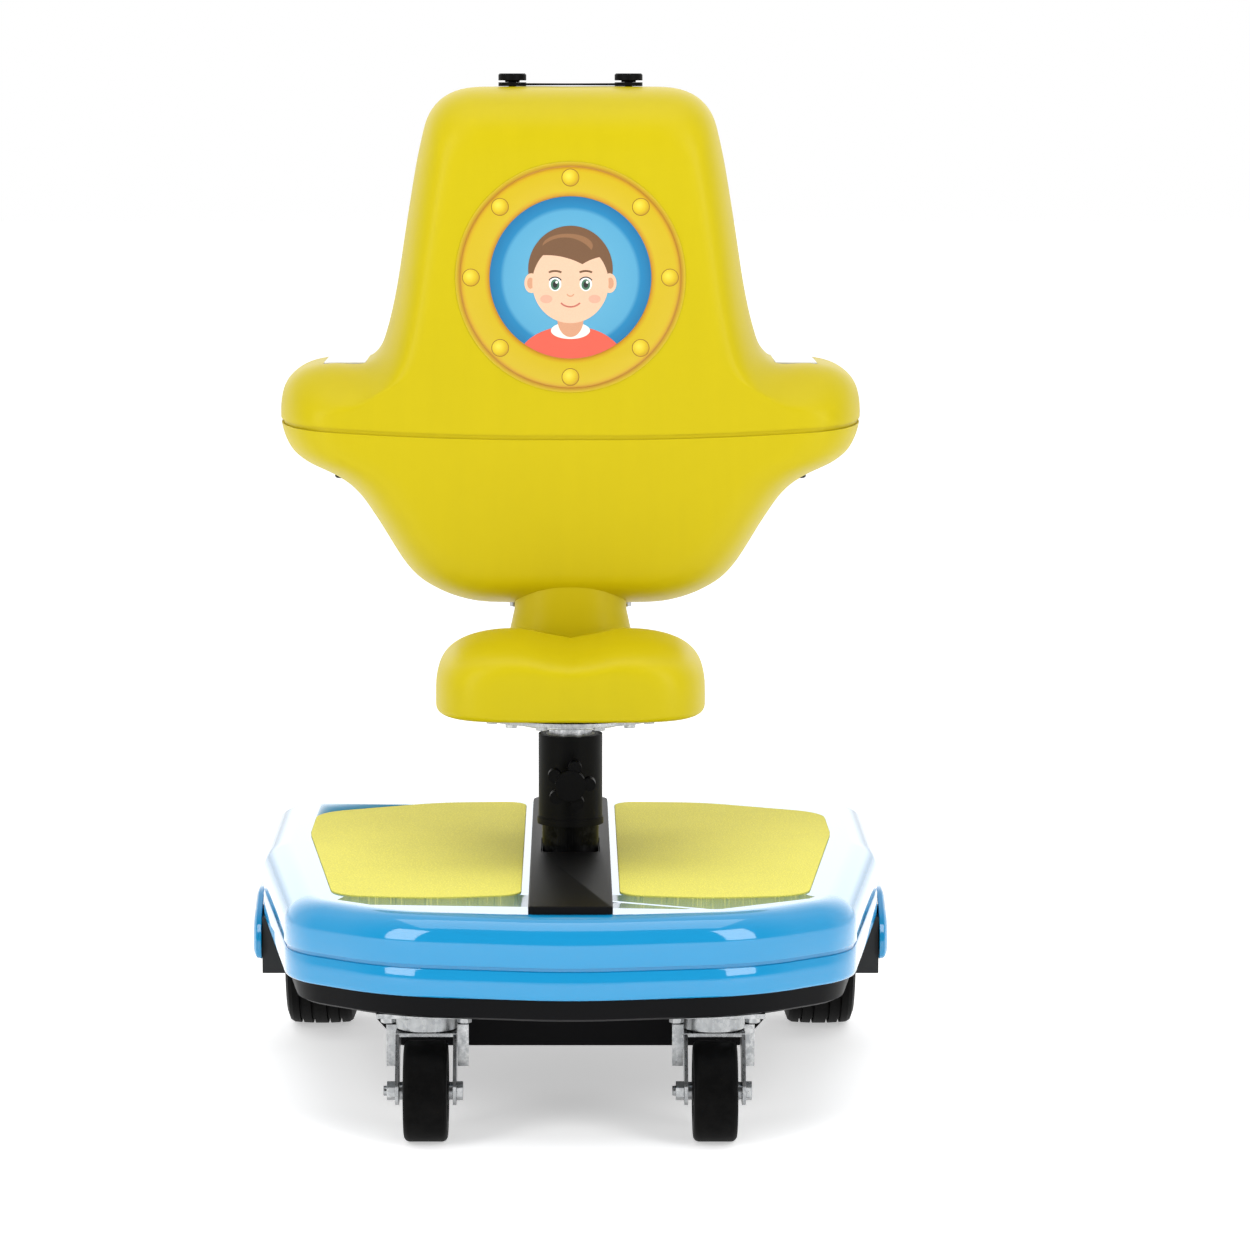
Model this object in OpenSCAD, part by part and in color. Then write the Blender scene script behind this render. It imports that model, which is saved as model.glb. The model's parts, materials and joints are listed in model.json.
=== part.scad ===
// Wheeled children's ride seat: blue wheeled base, telescopic column, turning saddle and hollow console.
// X is across, Y runs from the rider's back to the console, Z is up. The origin is on the floor under the column.

/* [Base] */
// Height of the platform surface above the floor
platform_z = 233; // [215:1:260]
// Rearmost point of the base, behind the column
base_rear = 400; // [340:1:420]
// Foremost point of the base, ahead of the column
base_front = 368; // [350:1:390]
// Half width of the base beside the column
base_half_w = 333; // [325:1:400]
// Narrowing of each side from the column to the rear corner
base_taper = 47; // [20:1:70]
// Wall of the blue shells
base_wall = 6; // [4:0.5:9]
// Radius of the round between platform and side
edge_round = 30; // [16:1:40]
// Height of the blue lower band
band_h = 31; // [24:1:40]
// Height of the groove between shell and band
groove_h = 4; // [2:0.5:6]
// Depth of that groove
groove_d = 3; // [1:0.5:4]
// Height of the black pan below the band
pan_h = 24; // [18:1:34]
// Height of the box under the pan
box_h = 61; // [40:1:75]
// Half width of the underbody box at its top
box_half_w = 199; // [150:1:215]

/* [Foot pads and rail] */
// Thickness of a foot pad
pad_t = 3; // [2:0.5:6]
// Depth of the pad's seat in the platform
pad_seat = 1.5; // [0.5:0.5:2.5]
// Width of the centre rail
rail_w = 84; // [78:1:94]
// Height of the centre rail above the platform
rail_h = 8; // [5:0.5:14]

/* [Column] */
// Outer diameter of the sleeve round the column
sleeve_d = 68; // [66:1:72]
// Outer diameter of the column tube
column_d = 60; // [54:1:61]
// Wall of the column tube
column_wall = 4; // [3:0.5:5]
// Height of the column's upper end
column_top = 362; // [345:1:366]
// Wall of the plastic bushes
bush_wall = 3; // [2:0.5:4]
// Radial running clearance of turning and sliding fits
fit = 0.06; // [0.03:0.01:0.1]
// Height adjustment of the seat
seat_travel = 70; // [40:5:80]
// Tip diameter of the star knob
star_d = 54; // [44:1:60]

/* [Saddle] */
// Width of the saddle
saddle_w = 284; // [250:1:310]
// Rear end of the saddle behind the column
saddle_rear = 140; // [125:1:160]
// Front end of the saddle ahead of the column
saddle_front = 106; // [96:1:107]
// Height of the saddle's crown
saddle_top = 472; // [460:1:482]
// Depth of the dip along the saddle's middle
saddle_dip = 13; // [5:1:18]

/* [Console] */
// Height of the underside of the tub
tub_z = 478; // [474:1:486]
// Height of the seam between lower and upper shell
seam_z = 668; // [650:1:690]
// Height of the wing tops
wing_z = 745; // [735:1:760]
// Height of the console's crown
hump_z = 1045; // [980:1:1120]
// Half width across the wings
wing_half_w = 320; // [300:1:340]
// Half width of the hump at its foot
hump_half_w = 200; // [185:1:210]
// Half width of the tub's floor
floor_half_w = 110; // [95:1:120]
// Rear face of the console ahead of the column
console_near = 110; // [108:1:125]
// Front face of the console ahead of the column
console_far = 400; // [370:1:430]
// Wall of the console shells
shell_wall = 6; // [4:0.5:8]
// Diameter of the porthole panel
porthole_d = 248; // [200:1:252]

/* [Clamp knobs] */
// Cap diameter of a clamp knob
knob_d = 30.5; // [24:0.5:34]
// Cap height of a clamp knob
knob_h = 7.6; // [6:0.1:10]
// Distance of a top knob from the middle
top_knob_x = 63.5; // [50:0.5:80]
// Distance of a wing knob from the middle
wing_knob_x = 250; // [244:1:256]

/* [Wheels] */
// Diameter of a castor wheel
castor_d = 101; // [90:1:104]
// Width of a castor wheel
castor_w = 44; // [36:1:46]
// Distance of a castor from the middle
castor_x = 144; // [120:1:160]
// Distance of a castor's turning axis behind the column
castor_y = 305; // [290:1:318]
// Distance of the castor wheel's axle behind its turning axis
castor_trail = 37; // [30:1:42]
// Thickness of the castor's fork plate
fork_t = 3.5; // [2.5:0.5:5]
// Diameter of a front wheel
wheel_d = 200; // [180:1:204]
// Width of a front wheel
wheel_w = 75; // [60:1:78]
// Distance of a front wheel's middle from the middle plane
wheel_x = 278; // [274:1:280]
// Distance of the front axle ahead of the column
axle_y = 242; // [230:1:246]
// Diameter of the front axle
axle_d = 20; // [16:1:24]

/* [Hidden] */
$fn = 64;
eps = 0.01;
// Clearance between parts that are fitted but don't bear on each other
gap = 0.5;

// Heights of the base's layers
shell_z = platform_z - 48;
band_top = shell_z - groove_h;
band_z = band_top - band_h + groove_h / 2;
pan_z = band_z - pan_h;
pan_t = 4;
box_z = pan_z - box_h;
box_rear = 205;
box_front = 190;
frame_z = pan_z + pan_t;
frame_bar = 40;
frame_h = 25;
frame_x = 120;
socket_d = column_d + 20;

// Front wheels and their housings
axle_z = wheel_d / 2;
wheel_gap = 8;
well_in = wheel_x - wheel_w / 2 - wheel_gap;
well_out = wheel_x + wheel_w / 2 + wheel_gap;
liner_t = 3;
arch_r = wheel_d / 2 + 12;
liner_rear = 62;
liner_front = axle_y + arch_r + liner_t;
liner_z = 90;
fender_z = 105;
fender_top = 176;
fender_out = 344;

// Column, stem and turntable
bore_d = column_d - 2 * column_wall;
stem_d = bore_d - 2 * bush_wall;
stem_wall = 4;
column_foot = 136;
stem_foot = 176;
sleeve_z = platform_z + 33;
flange_t = 3.5;
recess_w = 62;
recess_rear = 42;
turntable_z = 373;
table_t = 4;
ring_t = 4;
pivot_d = 20;
table_r = 97;
bolt_r = 88;
arm_z = turntable_z + 2 * table_t + ring_t;
arm_t = 8;
arm_w = 120;
arm_rear = 92;
arm_front = 214;
post_y = 170;
post_w = 50;
post_wall = 4;
star_z = 315;
star_gap = 4;
boss_d = 26;
boss_len = 12;
stud_d = 10;

// Console placing
tub_core_z = seam_z + 22;
tub_mid_y = (console_near + console_far) / 2;
tub_half_y = (console_far - console_near) / 2;
face_scale = 0.8;
wing_droop = 0.62;
hump_lean = 0.28;
round_power = 2.5;
porthole_z = 841;
porthole_t = 2;
tray_y = 262;
tray_len = 150;
tray_in = hump_half_w + 24;
tray_out = wing_half_w - 50;
tray_t = 2.5;
tray_seat_z = wing_z - 2.2;
knob_stud_d = 8;
top_knob_y = console_near + tub_half_y * (1 - hump_lean);
wing_knob_y = 318;
clamp_t = 2;
disc_t = 4.2;
wing_seat_z = 621;
boss_wall = 5;
wing_disc_t = 4;

// ---------- shared shapes ----------

function unit(v) = v / norm(v);
function left_of(v) = [-v.y, v.x];

// Points of an arc that rounds corner b of the path a-b-c with radius r.
function corner(a, b, c, r, n) =
    let (u = unit(a - b), w = unit(c - b), half = acos(u * w) / 2, d = r / tan(half))
    let (m = b + unit(u + w) * r / sin(half), s = b + u * d - m, e = b + w * d - m)
    let (turn = s.x * e.y - s.y * e.x > 0 ? 1 : -1, sweep = turn * (180 - 2 * half))
    [for (i = [0:n]) m + [s.x * cos(sweep * i / n) - s.y * sin(sweep * i / n),
                          s.x * sin(sweep * i / n) + s.y * cos(sweep * i / n)]];

// Corner b moved so that both of its edges lie d further in, on a path that runs anticlockwise.
function inset_corner(a, b, c, d) =
    let (n1 = left_of(unit(b - a)), n2 = left_of(unit(c - b)), m = unit(n1 + n2))
    b + m * d / (m * n1);

function inset_path(p, d) =
    let (n = len(p))
    [for (i = [0:n - 1]) inset_corner(p[(i + n - 1) % n], p[i], p[(i + 1) % n], d)];

function rounded(p, r, n = 8) =
    let (k = len(p))
    [for (i = [0:k - 1]) each corner(p[(i + k - 1) % k], p[i], p[(i + 1) % k], r[i], n)];

function shrink(r, d) = [for (v = r) max(v - d, 4)];

function smooth_point(a, b, c, d, t) =
    (2 * b + (c - a) * t + (2 * a - 5 * b + 4 * c - d) * t * t + (3 * b - a - 3 * c + d) * t * t * t) / 2;

// Smooth closed curve through the points p, with n steps between neighbours.
function smooth_path(p, n) =
    let (k = len(p))
    [for (i = [0:k - 1]) for (s = [0:n - 1])
        smooth_point(p[(i + k - 1) % k], p[i], p[(i + 1) % k], p[(i + 2) % k], s / n)];

function lift(p, z) = [for (q = p) [q.x, q.y, z]];
function mirrored(p) = concat(p, [for (i = [len(p) - 2:-1:1]) [-p[i].x, p[i].y]]);

// Solid through a stack of rings that run anticlockwise and hold as many points each.
module loft(rings) {
    n = len(rings[0]);
    last = len(rings) - 1;
    sides = [for (j = [0:last - 1]) for (i = [0:n - 1])
        [j * n + i, (j + 1) * n + i, (j + 1) * n + (i + 1) % n, j * n + (i + 1) % n]];
    ends = [[for (i = [0:n - 1]) i], [for (i = [n - 1:-1:0]) last * n + i]];
    polyhedron([for (r = rings) each r], concat(ends, sides), convexity = 6);
}

module tube(d, wall, z0, z1) {
    translate([0, 0, z0])
        difference() {
            cylinder(d = d, h = z1 - z0);
            translate([0, 0, -1]) cylinder(d = d - 2 * wall, h = z1 - z0 + 2);
        }
}

module block(x0, x1, y0, y1, z0, z1) {
    translate([x0, y0, z0]) cube([x1 - x0, y1 - y0, z1 - z0]);
}

module along_x(x0, x1, d) {
    translate([x0, 0, 0]) rotate([0, 90, 0]) cylinder(d = d, h = x1 - x0);
}

module hex_bolt(across, head_h, d, len) {
    cylinder(d = across / cos(30), h = head_h, $fn = 6);
    translate([0, 0, -len]) cylinder(d = d, h = len, $fn = 24);
}

// ---------- base ----------

// Plan of the base, anticlockwise from the front left.
plan = [[-base_half_w - 4, base_front], [-base_half_w, 60], [-base_half_w + base_taper, 110 - base_rear],
        [-base_half_w * 0.555, 28 - base_rear], [0, -base_rear - 2], [base_half_w * 0.555, 28 - base_rear],
        [base_half_w - base_taper, 110 - base_rear], [base_half_w, 60], [base_half_w + 4, base_front],
        [0, base_front + 9]];
plan_r = [60, 260, 95, 200, 300, 200, 95, 260, 60, 900];

function base_ring(d, z) = lift(rounded(inset_path(plan, d), shrink(plan_r, d)), z);

module base_plan(d) {
    polygon(rounded(inset_path(plan, d), shrink(plan_r, d)));
}

// Rings of the round between side and platform.
function edge_rings(d, top) =
    [for (a = [0:15:90]) base_ring(d + (edge_round - d) * (1 - cos(a)), top - 27 + 27 * sin(a))];

module wheel_wells() {
    for (s = [0, 1])
        mirror([s, 0, 0]) block(well_in - liner_t - gap, 420, liner_rear - gap, 420, 0, platform_z);
}

module arches(r) {
    for (s = [0, 1])
        mirror([s, 0, 0]) translate([0, axle_y, axle_z]) along_x(well_in - 20, 420, 2 * r);
}

module pad_plan(side, grow = 0) {
    p = [[-50, -260], [-50, 340], [-150, 333], [-284, 262], [-284, 120], [-240, -262], [-140, -279]];
    r = [26, 24, 140, 60, 300, 42, 200];
    last = len(p) - 1;
    q = side < 0 ? p : [for (i = [last:-1:0]) [-p[i].x, p[i].y]];
    round = side < 0 ? r : [for (i = [last:-1:0]) r[i]];
    polygon(rounded(inset_path(q, -grow), round));
}

module base_shell() {
    color("deepskyblue")
        difference() {
            loft(concat([base_ring(0, shell_z)], edge_rings(0, platform_z)));
            loft([base_ring(base_wall, shell_z - 1), base_ring(base_wall, platform_z - 24),
                  base_ring(edge_round, platform_z - base_wall)]);
            for (s = [-1, 1])
                translate([0, 0, platform_z - pad_seat]) linear_extrude(10) pad_plan(s, gap / 2);
            translate([0, 0, platform_z - 20]) cylinder(d = socket_d + 2 * gap, h = 40);
            flange_holes();
        }
}

module lower_band() {
    color("dodgerblue")
        difference() {
            loft([base_ring(3, band_z), base_ring(0.8, band_z + 2), base_ring(0, band_z + 5),
                  base_ring(0, band_top - 1), base_ring(groove_d, band_top),
                  base_ring(groove_d, shell_z - eps)]);
            loft([base_ring(base_wall + 3, band_z - 1), base_ring(base_wall + 3, shell_z + 1)]);
            arches(arch_r);
            for (s = [-1, 1]) block(s * 300 - 20, s * 300 + 20, -206, -202, band_z + 13, band_z + 25);
        }
}

module skirt_pan() {
    color("dimgray")
        difference() {
            loft([base_ring(20, pan_z), base_ring(14, pan_z + 3), base_ring(10, band_z)]);
            loft([base_ring(19, pan_z + pan_t), base_ring(15, band_z + 1)]);
            wheel_wells();
            castor_holes(pan_z - 1, pan_z + pan_t + 1);
        }
}

module underbody_box() {
    color("black")
        translate([0, box_front, 0]) rotate([90, 0, 0])
            difference() {
                linear_extrude(box_front + box_rear) box_plan(0, box_z);
                translate([0, 0, 4]) linear_extrude(box_front + box_rear - 8) box_plan(4, box_z + 4);
            }
}

module box_plan(wall, z) {
    top = pan_z + (wall > 0 ? 1 : 0);
    w = box_half_w - wall;
    polygon([[-w + 25, z], [w - 25, z], [w, z + 28 - wall / 2], [w, top], [-w, top], [-w, z + 28 - wall / 2]]);
}

// Ladder frame of flat steel bars that carries the column socket, the castors and the front axle.
module chassis_frame() {
    top = frame_z + frame_h;
    color("slategray")
        difference() {
            union() {
                intersection() {
                    frame_bars(top);
                    translate([0, 0, frame_z]) linear_extrude(frame_h) base_plan(21);
                }
                translate([0, 0, frame_z]) cylinder(d = socket_d, h = platform_z - frame_z);
            }
            translate([0, 0, frame_z - 1]) cylinder(d = column_d + 2 * gap, h = platform_z - frame_z + 2);
            castor_holes(frame_z - 1, top + 1);
            flange_holes();
        }
}

module frame_bars(top) {
    for (s = [-1, 1]) {
        block(s * frame_x - frame_bar / 2, s * frame_x + frame_bar / 2, -360, 320, frame_z, top);
        translate([s * castor_x, -castor_y, frame_z]) castor_pad();
    }
    for (y = [-castor_y, 0, axle_y])
        block(-frame_x, frame_x, y - frame_bar, y + frame_bar, frame_z, top);
}

module castor_pad() {
    translate([-62, -52, 0]) cube([124, 104, frame_h]);
}

module castor_holes(z0, z1) {
    for (s = [-1, 1]) for (x = [-38, 38]) for (y = [-26, 26])
        translate([s * castor_x + x, y - castor_y, z0]) cylinder(d = 9, h = z1 - z0, $fn = 24);
}

// Flared blue skin behind a front wheel, cut out round the wheel.
module fender(side) {
    p = [[liner_rear - 8, fender_z], [axle_y, fender_z], [axle_y, fender_top],
         [liner_rear + 50, fender_top], [liner_rear - 8, fender_top - 26]];
    r = [14, 14, 20, 60, 40];
    steps = [[base_half_w + 1.4, 0], [base_half_w + 7, 1], [fender_out - 1.5, 5], [fender_out, 12]];
    color("deepskyblue")
        mirror([side < 0 ? 1 : 0, 0, 0])
            difference() {
                rotate([90, 0, 90])
                    loft([for (q = steps) lift(rounded(inset_path(p, q[1]), shrink(r, q[1])), q[0])]);
                arches(arch_r);
            }
}

// Dark housing round the upper half of a front wheel, with a deep rear wall.
module wheel_liner(side) {
    wall_in = well_in - liner_t;
    wall_out = base_half_w - 17;
    color("darkslategray")
        mirror([side < 0 ? 1 : 0, 0, 0])
            difference() {
                union() {
                    intersection() {
                        translate([0, axle_y, axle_z]) along_x(wall_in, wall_out, 2 * (arch_r + liner_t));
                        block(0, 420, 0, liner_front + 1, liner_z, platform_z);
                        linear_extrude(platform_z) base_plan(base_wall + 4);
                    }
                    block(wall_in, base_half_w + 1, liner_rear, axle_y, liner_z, band_z - gap);
                }
                translate([0, axle_y, axle_z]) along_x(well_in, 420, 2 * arch_r);
                block(well_in, 420, liner_rear + liner_t, axle_y - arch_r - 8, liner_z + liner_t, band_z - 6);
                translate([0, axle_y, axle_z]) along_x(0, 420, axle_d + 4);
            }
}

module foot_pad(side) {
    color("khaki")
        translate([0, 0, platform_z - pad_seat]) linear_extrude(pad_t) pad_plan(side);
}

// Flat cover along the platform with a window for the column's foot.
module center_rail() {
    w = rail_w / 2;
    p = [[-w, 4 - base_rear + edge_round], [w, 4 - base_rear + edge_round],
         [w, base_front - edge_round], [-w, base_front - edge_round]];
    color("black")
        difference() {
            loft([for (q = [[0, 0], [0, rail_h - 1.5], [0.5, rail_h - 0.5], [1.5, rail_h]])
                lift(rounded(inset_path(p, q[0]), shrink([5, 5, 16, 16], q[0])), platform_z + q[1])]);
            block(-recess_w / 2, recess_w / 2, -recess_rear, recess_rear + 8, platform_z - 1, platform_z + 40);
        }
}

// ---------- column ----------

function screw_places() = [for (y = [-1, 1]) for (x = [-22, -12.5, 12.5, 22]) [x, y * (recess_rear - 6)]];

module flange_holes() {
    for (p = screw_places()) translate([p.x, p.y, platform_z - 12]) cylinder(d = 4.2, h = 24, $fn = 24);
}

module column_flange() {
    w = recess_w / 2 - gap;
    color("dimgray")
        translate([0, 0, platform_z])
            difference() {
                block(-w, w, -recess_rear + gap, recess_rear - gap, 0, flange_t);
                translate([0, 0, -1]) cylinder(d = column_d + 2 * fit, h = 20);
                translate([0, 0, -platform_z]) flange_holes();
            }
}

module flange_screws() {
    color("silver")
        for (p = screw_places())
            translate([p.x, p.y, platform_z + flange_t]) {
                cylinder(d = 7, h = 2.4, $fn = 24);
                translate([0, 0, -9]) cylinder(d = 4, h = 9, $fn = 24);
            }
}

module toward_rider(y0, y1, d) {
    translate([0, -y0, star_z]) rotate([90, 0, 0]) cylinder(d = d, h = y1 - y0);
}

module column_tube() {
    color("black")
        difference() {
            union() {
                tube(column_d, column_wall, column_foot, column_top);
                difference() {
                    toward_rider(0, sleeve_d / 2 + boss_len, boss_d);
                    translate([0, 0, column_foot]) cylinder(d = column_d - 1, h = column_top);
                }
            }
            toward_rider(0, sleeve_d, stud_d + 2 * fit);
        }
}

module column_sleeve() {
    color("dimgray")
        difference() {
            union() {
                tube(sleeve_d, (sleeve_d - column_d) / 2 - fit, sleeve_z, column_top);
                tube(sleeve_d + 2.4, 1.2, sleeve_z, sleeve_z + 7);
            }
            toward_rider(0, sleeve_d, boss_d + 2 * gap);
        }
}

module tube_bushes() {
    color("ivory")
        for (z = [[column_foot + 40, column_foot + 80], [column_top - 32, column_top]])
            tube(bore_d - 2 * fit, bush_wall - 2 * fit, z[0], z[1]);
}

// Five-lobed knob that faces the rider.
module star_knob() {
    y0 = sleeve_d / 2 + boss_len + star_gap;
    lobe = star_d / 5;
    color("black")
        translate([0, -y0, star_z]) rotate([90, 0, 0])
            difference() {
                union() {
                    cylinder(d = star_d * 0.6, h = 18);
                    for (i = [0:4])
                        rotate([0, 0, 4 + 72 * i]) translate([star_d / 2 - lobe / 2 - 2, 0, 0])
                            cylinder(d = lobe + 3, h = 16);
                    translate([0, 0, -star_gap + 0.4]) cylinder(d = stud_d + 8, h = star_gap);
                }
                translate([0, 0, -star_gap]) cylinder(d = stud_d, h = star_gap + 12);
            }
}

module knob_stud() {
    color("silver")
        toward_rider(stem_d / 2 + 0.4, sleeve_d / 2 + boss_len + star_gap + 12, stud_d);
}

// ---------- seat post, turntable and arm ----------

module seat_stem() {
    color("silver") tube(stem_d, stem_wall, stem_foot, turntable_z);
}

module turntable_lower() {
    color("gray")
        difference() {
            union() {
                translate([0, 0, turntable_z]) cylinder(d = 112, h = table_t);
                translate([0, 0, turntable_z - 24]) cylinder(d = stem_d - 2 * stem_wall, h = 24 + eps);
            }
            translate([0, 0, turntable_z - 30]) cylinder(d = pivot_d + 2 * fit, h = 40);
        }
}

module thrust_ring() {
    color("goldenrod")
        tube(96, 26, turntable_z + table_t, turntable_z + table_t + ring_t);
}

function bolt_angles() = [20, 45, 70, 110, 135, 160, 200, 225, 250, 290, 315, 340];

module turntable_upper() {
    z = turntable_z + table_t + ring_t;
    color("silver")
        difference() {
            union() {
                translate([0, 0, z]) cylinder(r = table_r, h = table_t);
                translate([0, 0, turntable_z - 6]) cylinder(d = pivot_d, h = z - turntable_z + 6 + eps);
            }
            for (a = bolt_angles()) rotate([0, 0, a]) translate([bolt_r, 0, z - 1]) cylinder(d = 8.2, h = 10);
        }
}

module turntable_bolts() {
    z = turntable_z + table_t + ring_t;
    color("silver")
        for (a = bolt_angles())
            rotate([0, 0, a]) translate([bolt_r, 0, z]) mirror([0, 0, 1]) hex_bolt(11, 4.4, 8, table_t + arm_t - 1);
}

module support_arm() {
    color("dimgray")
        difference() {
            union() {
                translate([0, 0, arm_z]) cylinder(r = table_r, h = arm_t);
                block(-arm_w / 2, arm_w / 2, 0, arm_front, arm_z, arm_z + arm_t);
            }
            for (a = bolt_angles()) rotate([0, 0, a]) translate([bolt_r, 0, arm_z - 1]) cylinder(d = 8.2, h = 20);
        }
}

// Rounded cross-section of the saddle: wide flanks, a dip on top and a bulging underside.
function saddle_section(s) =
    let (w = saddle_w / 2 * s, mid = 405, up = saddle_top - mid, down = 17)
    [for (a = [0:7.5:352.5])
        let (c = cos(a), n = sin(a), x = w * sign(c) * pow(abs(c), n >= 0 ? 0.55 : 0.4))
        [x, n >= 0 ? mid + (up * pow(n, 0.55) - saddle_dip * exp(-x * x / 1500)) * s
                   : mid - down * pow(-n, 0.45) * s]];

function swell(u, p) = pow(max(1 - pow(abs(u), p), 0), 1 / p);

module saddle() {
    mid = (saddle_front - saddle_rear) / 2;
    half = (saddle_front + saddle_rear) / 2;
    color("gold")
        difference() {
            rotate([90, 0, 0])
                loft([for (a = [-84:12:84])
                    lift(saddle_section(0.55 + 0.45 * swell(sin(a), 3)), half * sin(a) / sin(84) - mid)]);
            translate([0, 0, 300]) cylinder(r = table_r + 2, h = arm_z + arm_t - 300);
            block(-arm_w / 2 - 2, arm_w / 2 + 2, 0, 200, 300, arm_z + arm_t);
        }
}

// ---------- console ----------

// Right half of the console's outline, from the middle of the floor up to the crown.
half_outline = [
    [0, tub_z], [floor_half_w * 0.58, tub_z], [floor_half_w, tub_z + 3], [floor_half_w + 40, tub_z + 17],
    [floor_half_w + 70, tub_z + 41], [floor_half_w + 104, tub_z + 94], [floor_half_w + 125, tub_z + 123],
    [wing_half_w - 62, seam_z - 49], [wing_half_w - 26, seam_z - 31], [wing_half_w - 8, seam_z - 12],
    [wing_half_w, seam_z + 18], [wing_half_w - 5, wing_z - 26], [wing_half_w - 24, wing_z - 7],
    [wing_half_w - 54, wing_z], [hump_half_w + 30, wing_z], [hump_half_w + 12, wing_z + 12],
    [hump_half_w + 2, wing_z + 35], [hump_half_w - 9, wing_z + 82], [hump_half_w - 21, hump_z - 144],
    [hump_half_w - 35, hump_z - 66], [hump_half_w - 49, hump_z - 24], [hump_half_w - 80, hump_z - 3],
    [hump_half_w * 0.32, hump_z], [0, hump_z]];
outline = smooth_path(mirrored(half_outline), 2);

// Place y of a point of the console at height z: the front of the hump leans back towards its crown.
function lean(y, z) =
    let (t = min(max((z - wing_z) / (hump_z - wing_z), 0), 1))
    console_near + (y - console_near) * (1 - hump_lean * t * t * (3 - 2 * t));

// How far the wings' near edge droops, so that the hump flares down to it.
function droop(x, y, z) =
    let (t = min(max((abs(x) - 165) / 75, 0), 1), near = max(1 - (y - console_near) / 77, 0))
    max(z - seam_z - 12, 0) * wing_droop * near * near * t * t * (3 - 2 * t);

// Section of the console at y, with its outline moved in by inset and drawn towards its middle by s.
function tub_ring(s, inset, y) =
    [for (q = inset_path(outline, inset))
        let (x = q.x * s, z = tub_core_z + (q.y - tub_core_z) * s)
            [x, z - droop(x, y, z), -lean(y, z)]];

// The three small rings at the front end carry the lean across its face.
module tub_solid(inset) {
    front = [for (k = [0.1, 0.4, 0.7]) tub_ring(face_scale * k, inset, console_far - inset)];
    rest = [for (a = [90:-15:-90])
        tub_ring(face_scale + (1 - face_scale) * swell(sin(a), round_power), inset,
                 tub_mid_y + (tub_half_y - inset) * sin(a))];
    rotate([90, 0, 0]) loft(concat(front, rest));
}

// Everything below the seam, which rises towards the tips of the wings.
module below_seam(shift) {
    rise = [for (x = [-400, -320, -280, -235, -190, -145, -95, 0, 95, 145, 190, 235, 280, 320, 400])
        [x, seam_z + shift + 13 * pow(min(abs(x) / 320, 1), 2.2)]];
    rotate([90, 0, 0])
        translate([0, 0, -500]) linear_extrude(500) polygon(concat([[-400, 300]], rise, [[400, 300]]));
}

module wing_knob_places() {
    for (s = [-1, 1]) translate([s * wing_knob_x, wing_knob_y, 0]) children();
}

seam_half = 2.5;
seam_depth = 2;

module console_lower() {
    color("gold")
        difference() {
            union() {
                intersection() {
                    tub_solid(0);
                    below_seam(-seam_half);
                }
                intersection() {
                    tub_solid(seam_depth);
                    below_seam(seam_half - 0.2);
                }
            }
            difference() {
                tub_solid(shell_wall);
                wing_knob_places() translate([0, 0, 500]) cylinder(d = 54, h = wing_seat_z + boss_wall - 500);
            }
            wing_knob_places() translate([0, 0, 500]) cylinder(d = 44, h = wing_seat_z - 500);
            wing_knob_places() translate([0, 0, 500]) cylinder(d = knob_stud_d + 1, h = 200, $fn = 24);
            block(-post_w / 2 - 1, post_w / 2 + 1, post_y - post_w / 2 - 1, post_y + post_w / 2 + 1, 400, 560);
            for (p = tub_bolt_places()) translate([p.x, p.y, 400]) cylinder(d = 9, h = 120, $fn = 24);
        }
}

module console_upper() {
    color("gold")
        difference() {
            tub_solid(0);
            tub_solid(shell_wall);
            below_seam(seam_half);
            for (s = [-1, 1]) translate([0, 0, tray_seat_z]) linear_extrude(60) tray_plan(s, gap / 2);
            for (s = [-1, 1])
                translate([s * top_knob_x, top_knob_y, hump_z - 30]) cylinder(d = knob_stud_d + 1, h = 60, $fn = 24);
        }
}

module tray_plan(side, grow = 0) {
    w = tray_out - tray_in;
    translate([side * (tray_in + w / 2), tray_y])
        square([w + 2 * grow, tray_len + 2 * grow], center = true);
}

module tray(side) {
    color("white")
        translate([0, 0, tray_seat_z])
            linear_extrude(tray_t) tray_plan(side);
}

module porthole_panel() {
    color("orange")
        translate([0, console_near, porthole_z]) rotate([90, 0, 0]) cylinder(d = porthole_d, h = porthole_t, $fn = 96);
}

// Yellow shroud between the saddle's front and the tub.
module neck_cover() {
    color("gold")
        difference() {
            loft(neck_rings(0));
            loft(neck_rings(5));
            tub_solid(0);
        }
}

function neck_rings(d) =
    [for (q = [[arm_z + arm_t - d / 5, 74, 59], [430, 71, 58], [450, 67, 57], [475, 61.5, 56], [520 + d, 60, 56]])
        [for (a = [0:7.5:352.5])
            [(q[1] - d) * sign(cos(a)) * pow(abs(cos(a)), 0.7),
             post_y + (q[2] - d) * sign(sin(a)) * pow(abs(sin(a)), 0.7), q[0]]]];

function tub_bolt_places() = [for (x = [-60, 60]) for (y = [222, 282]) [x, y]];

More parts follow.
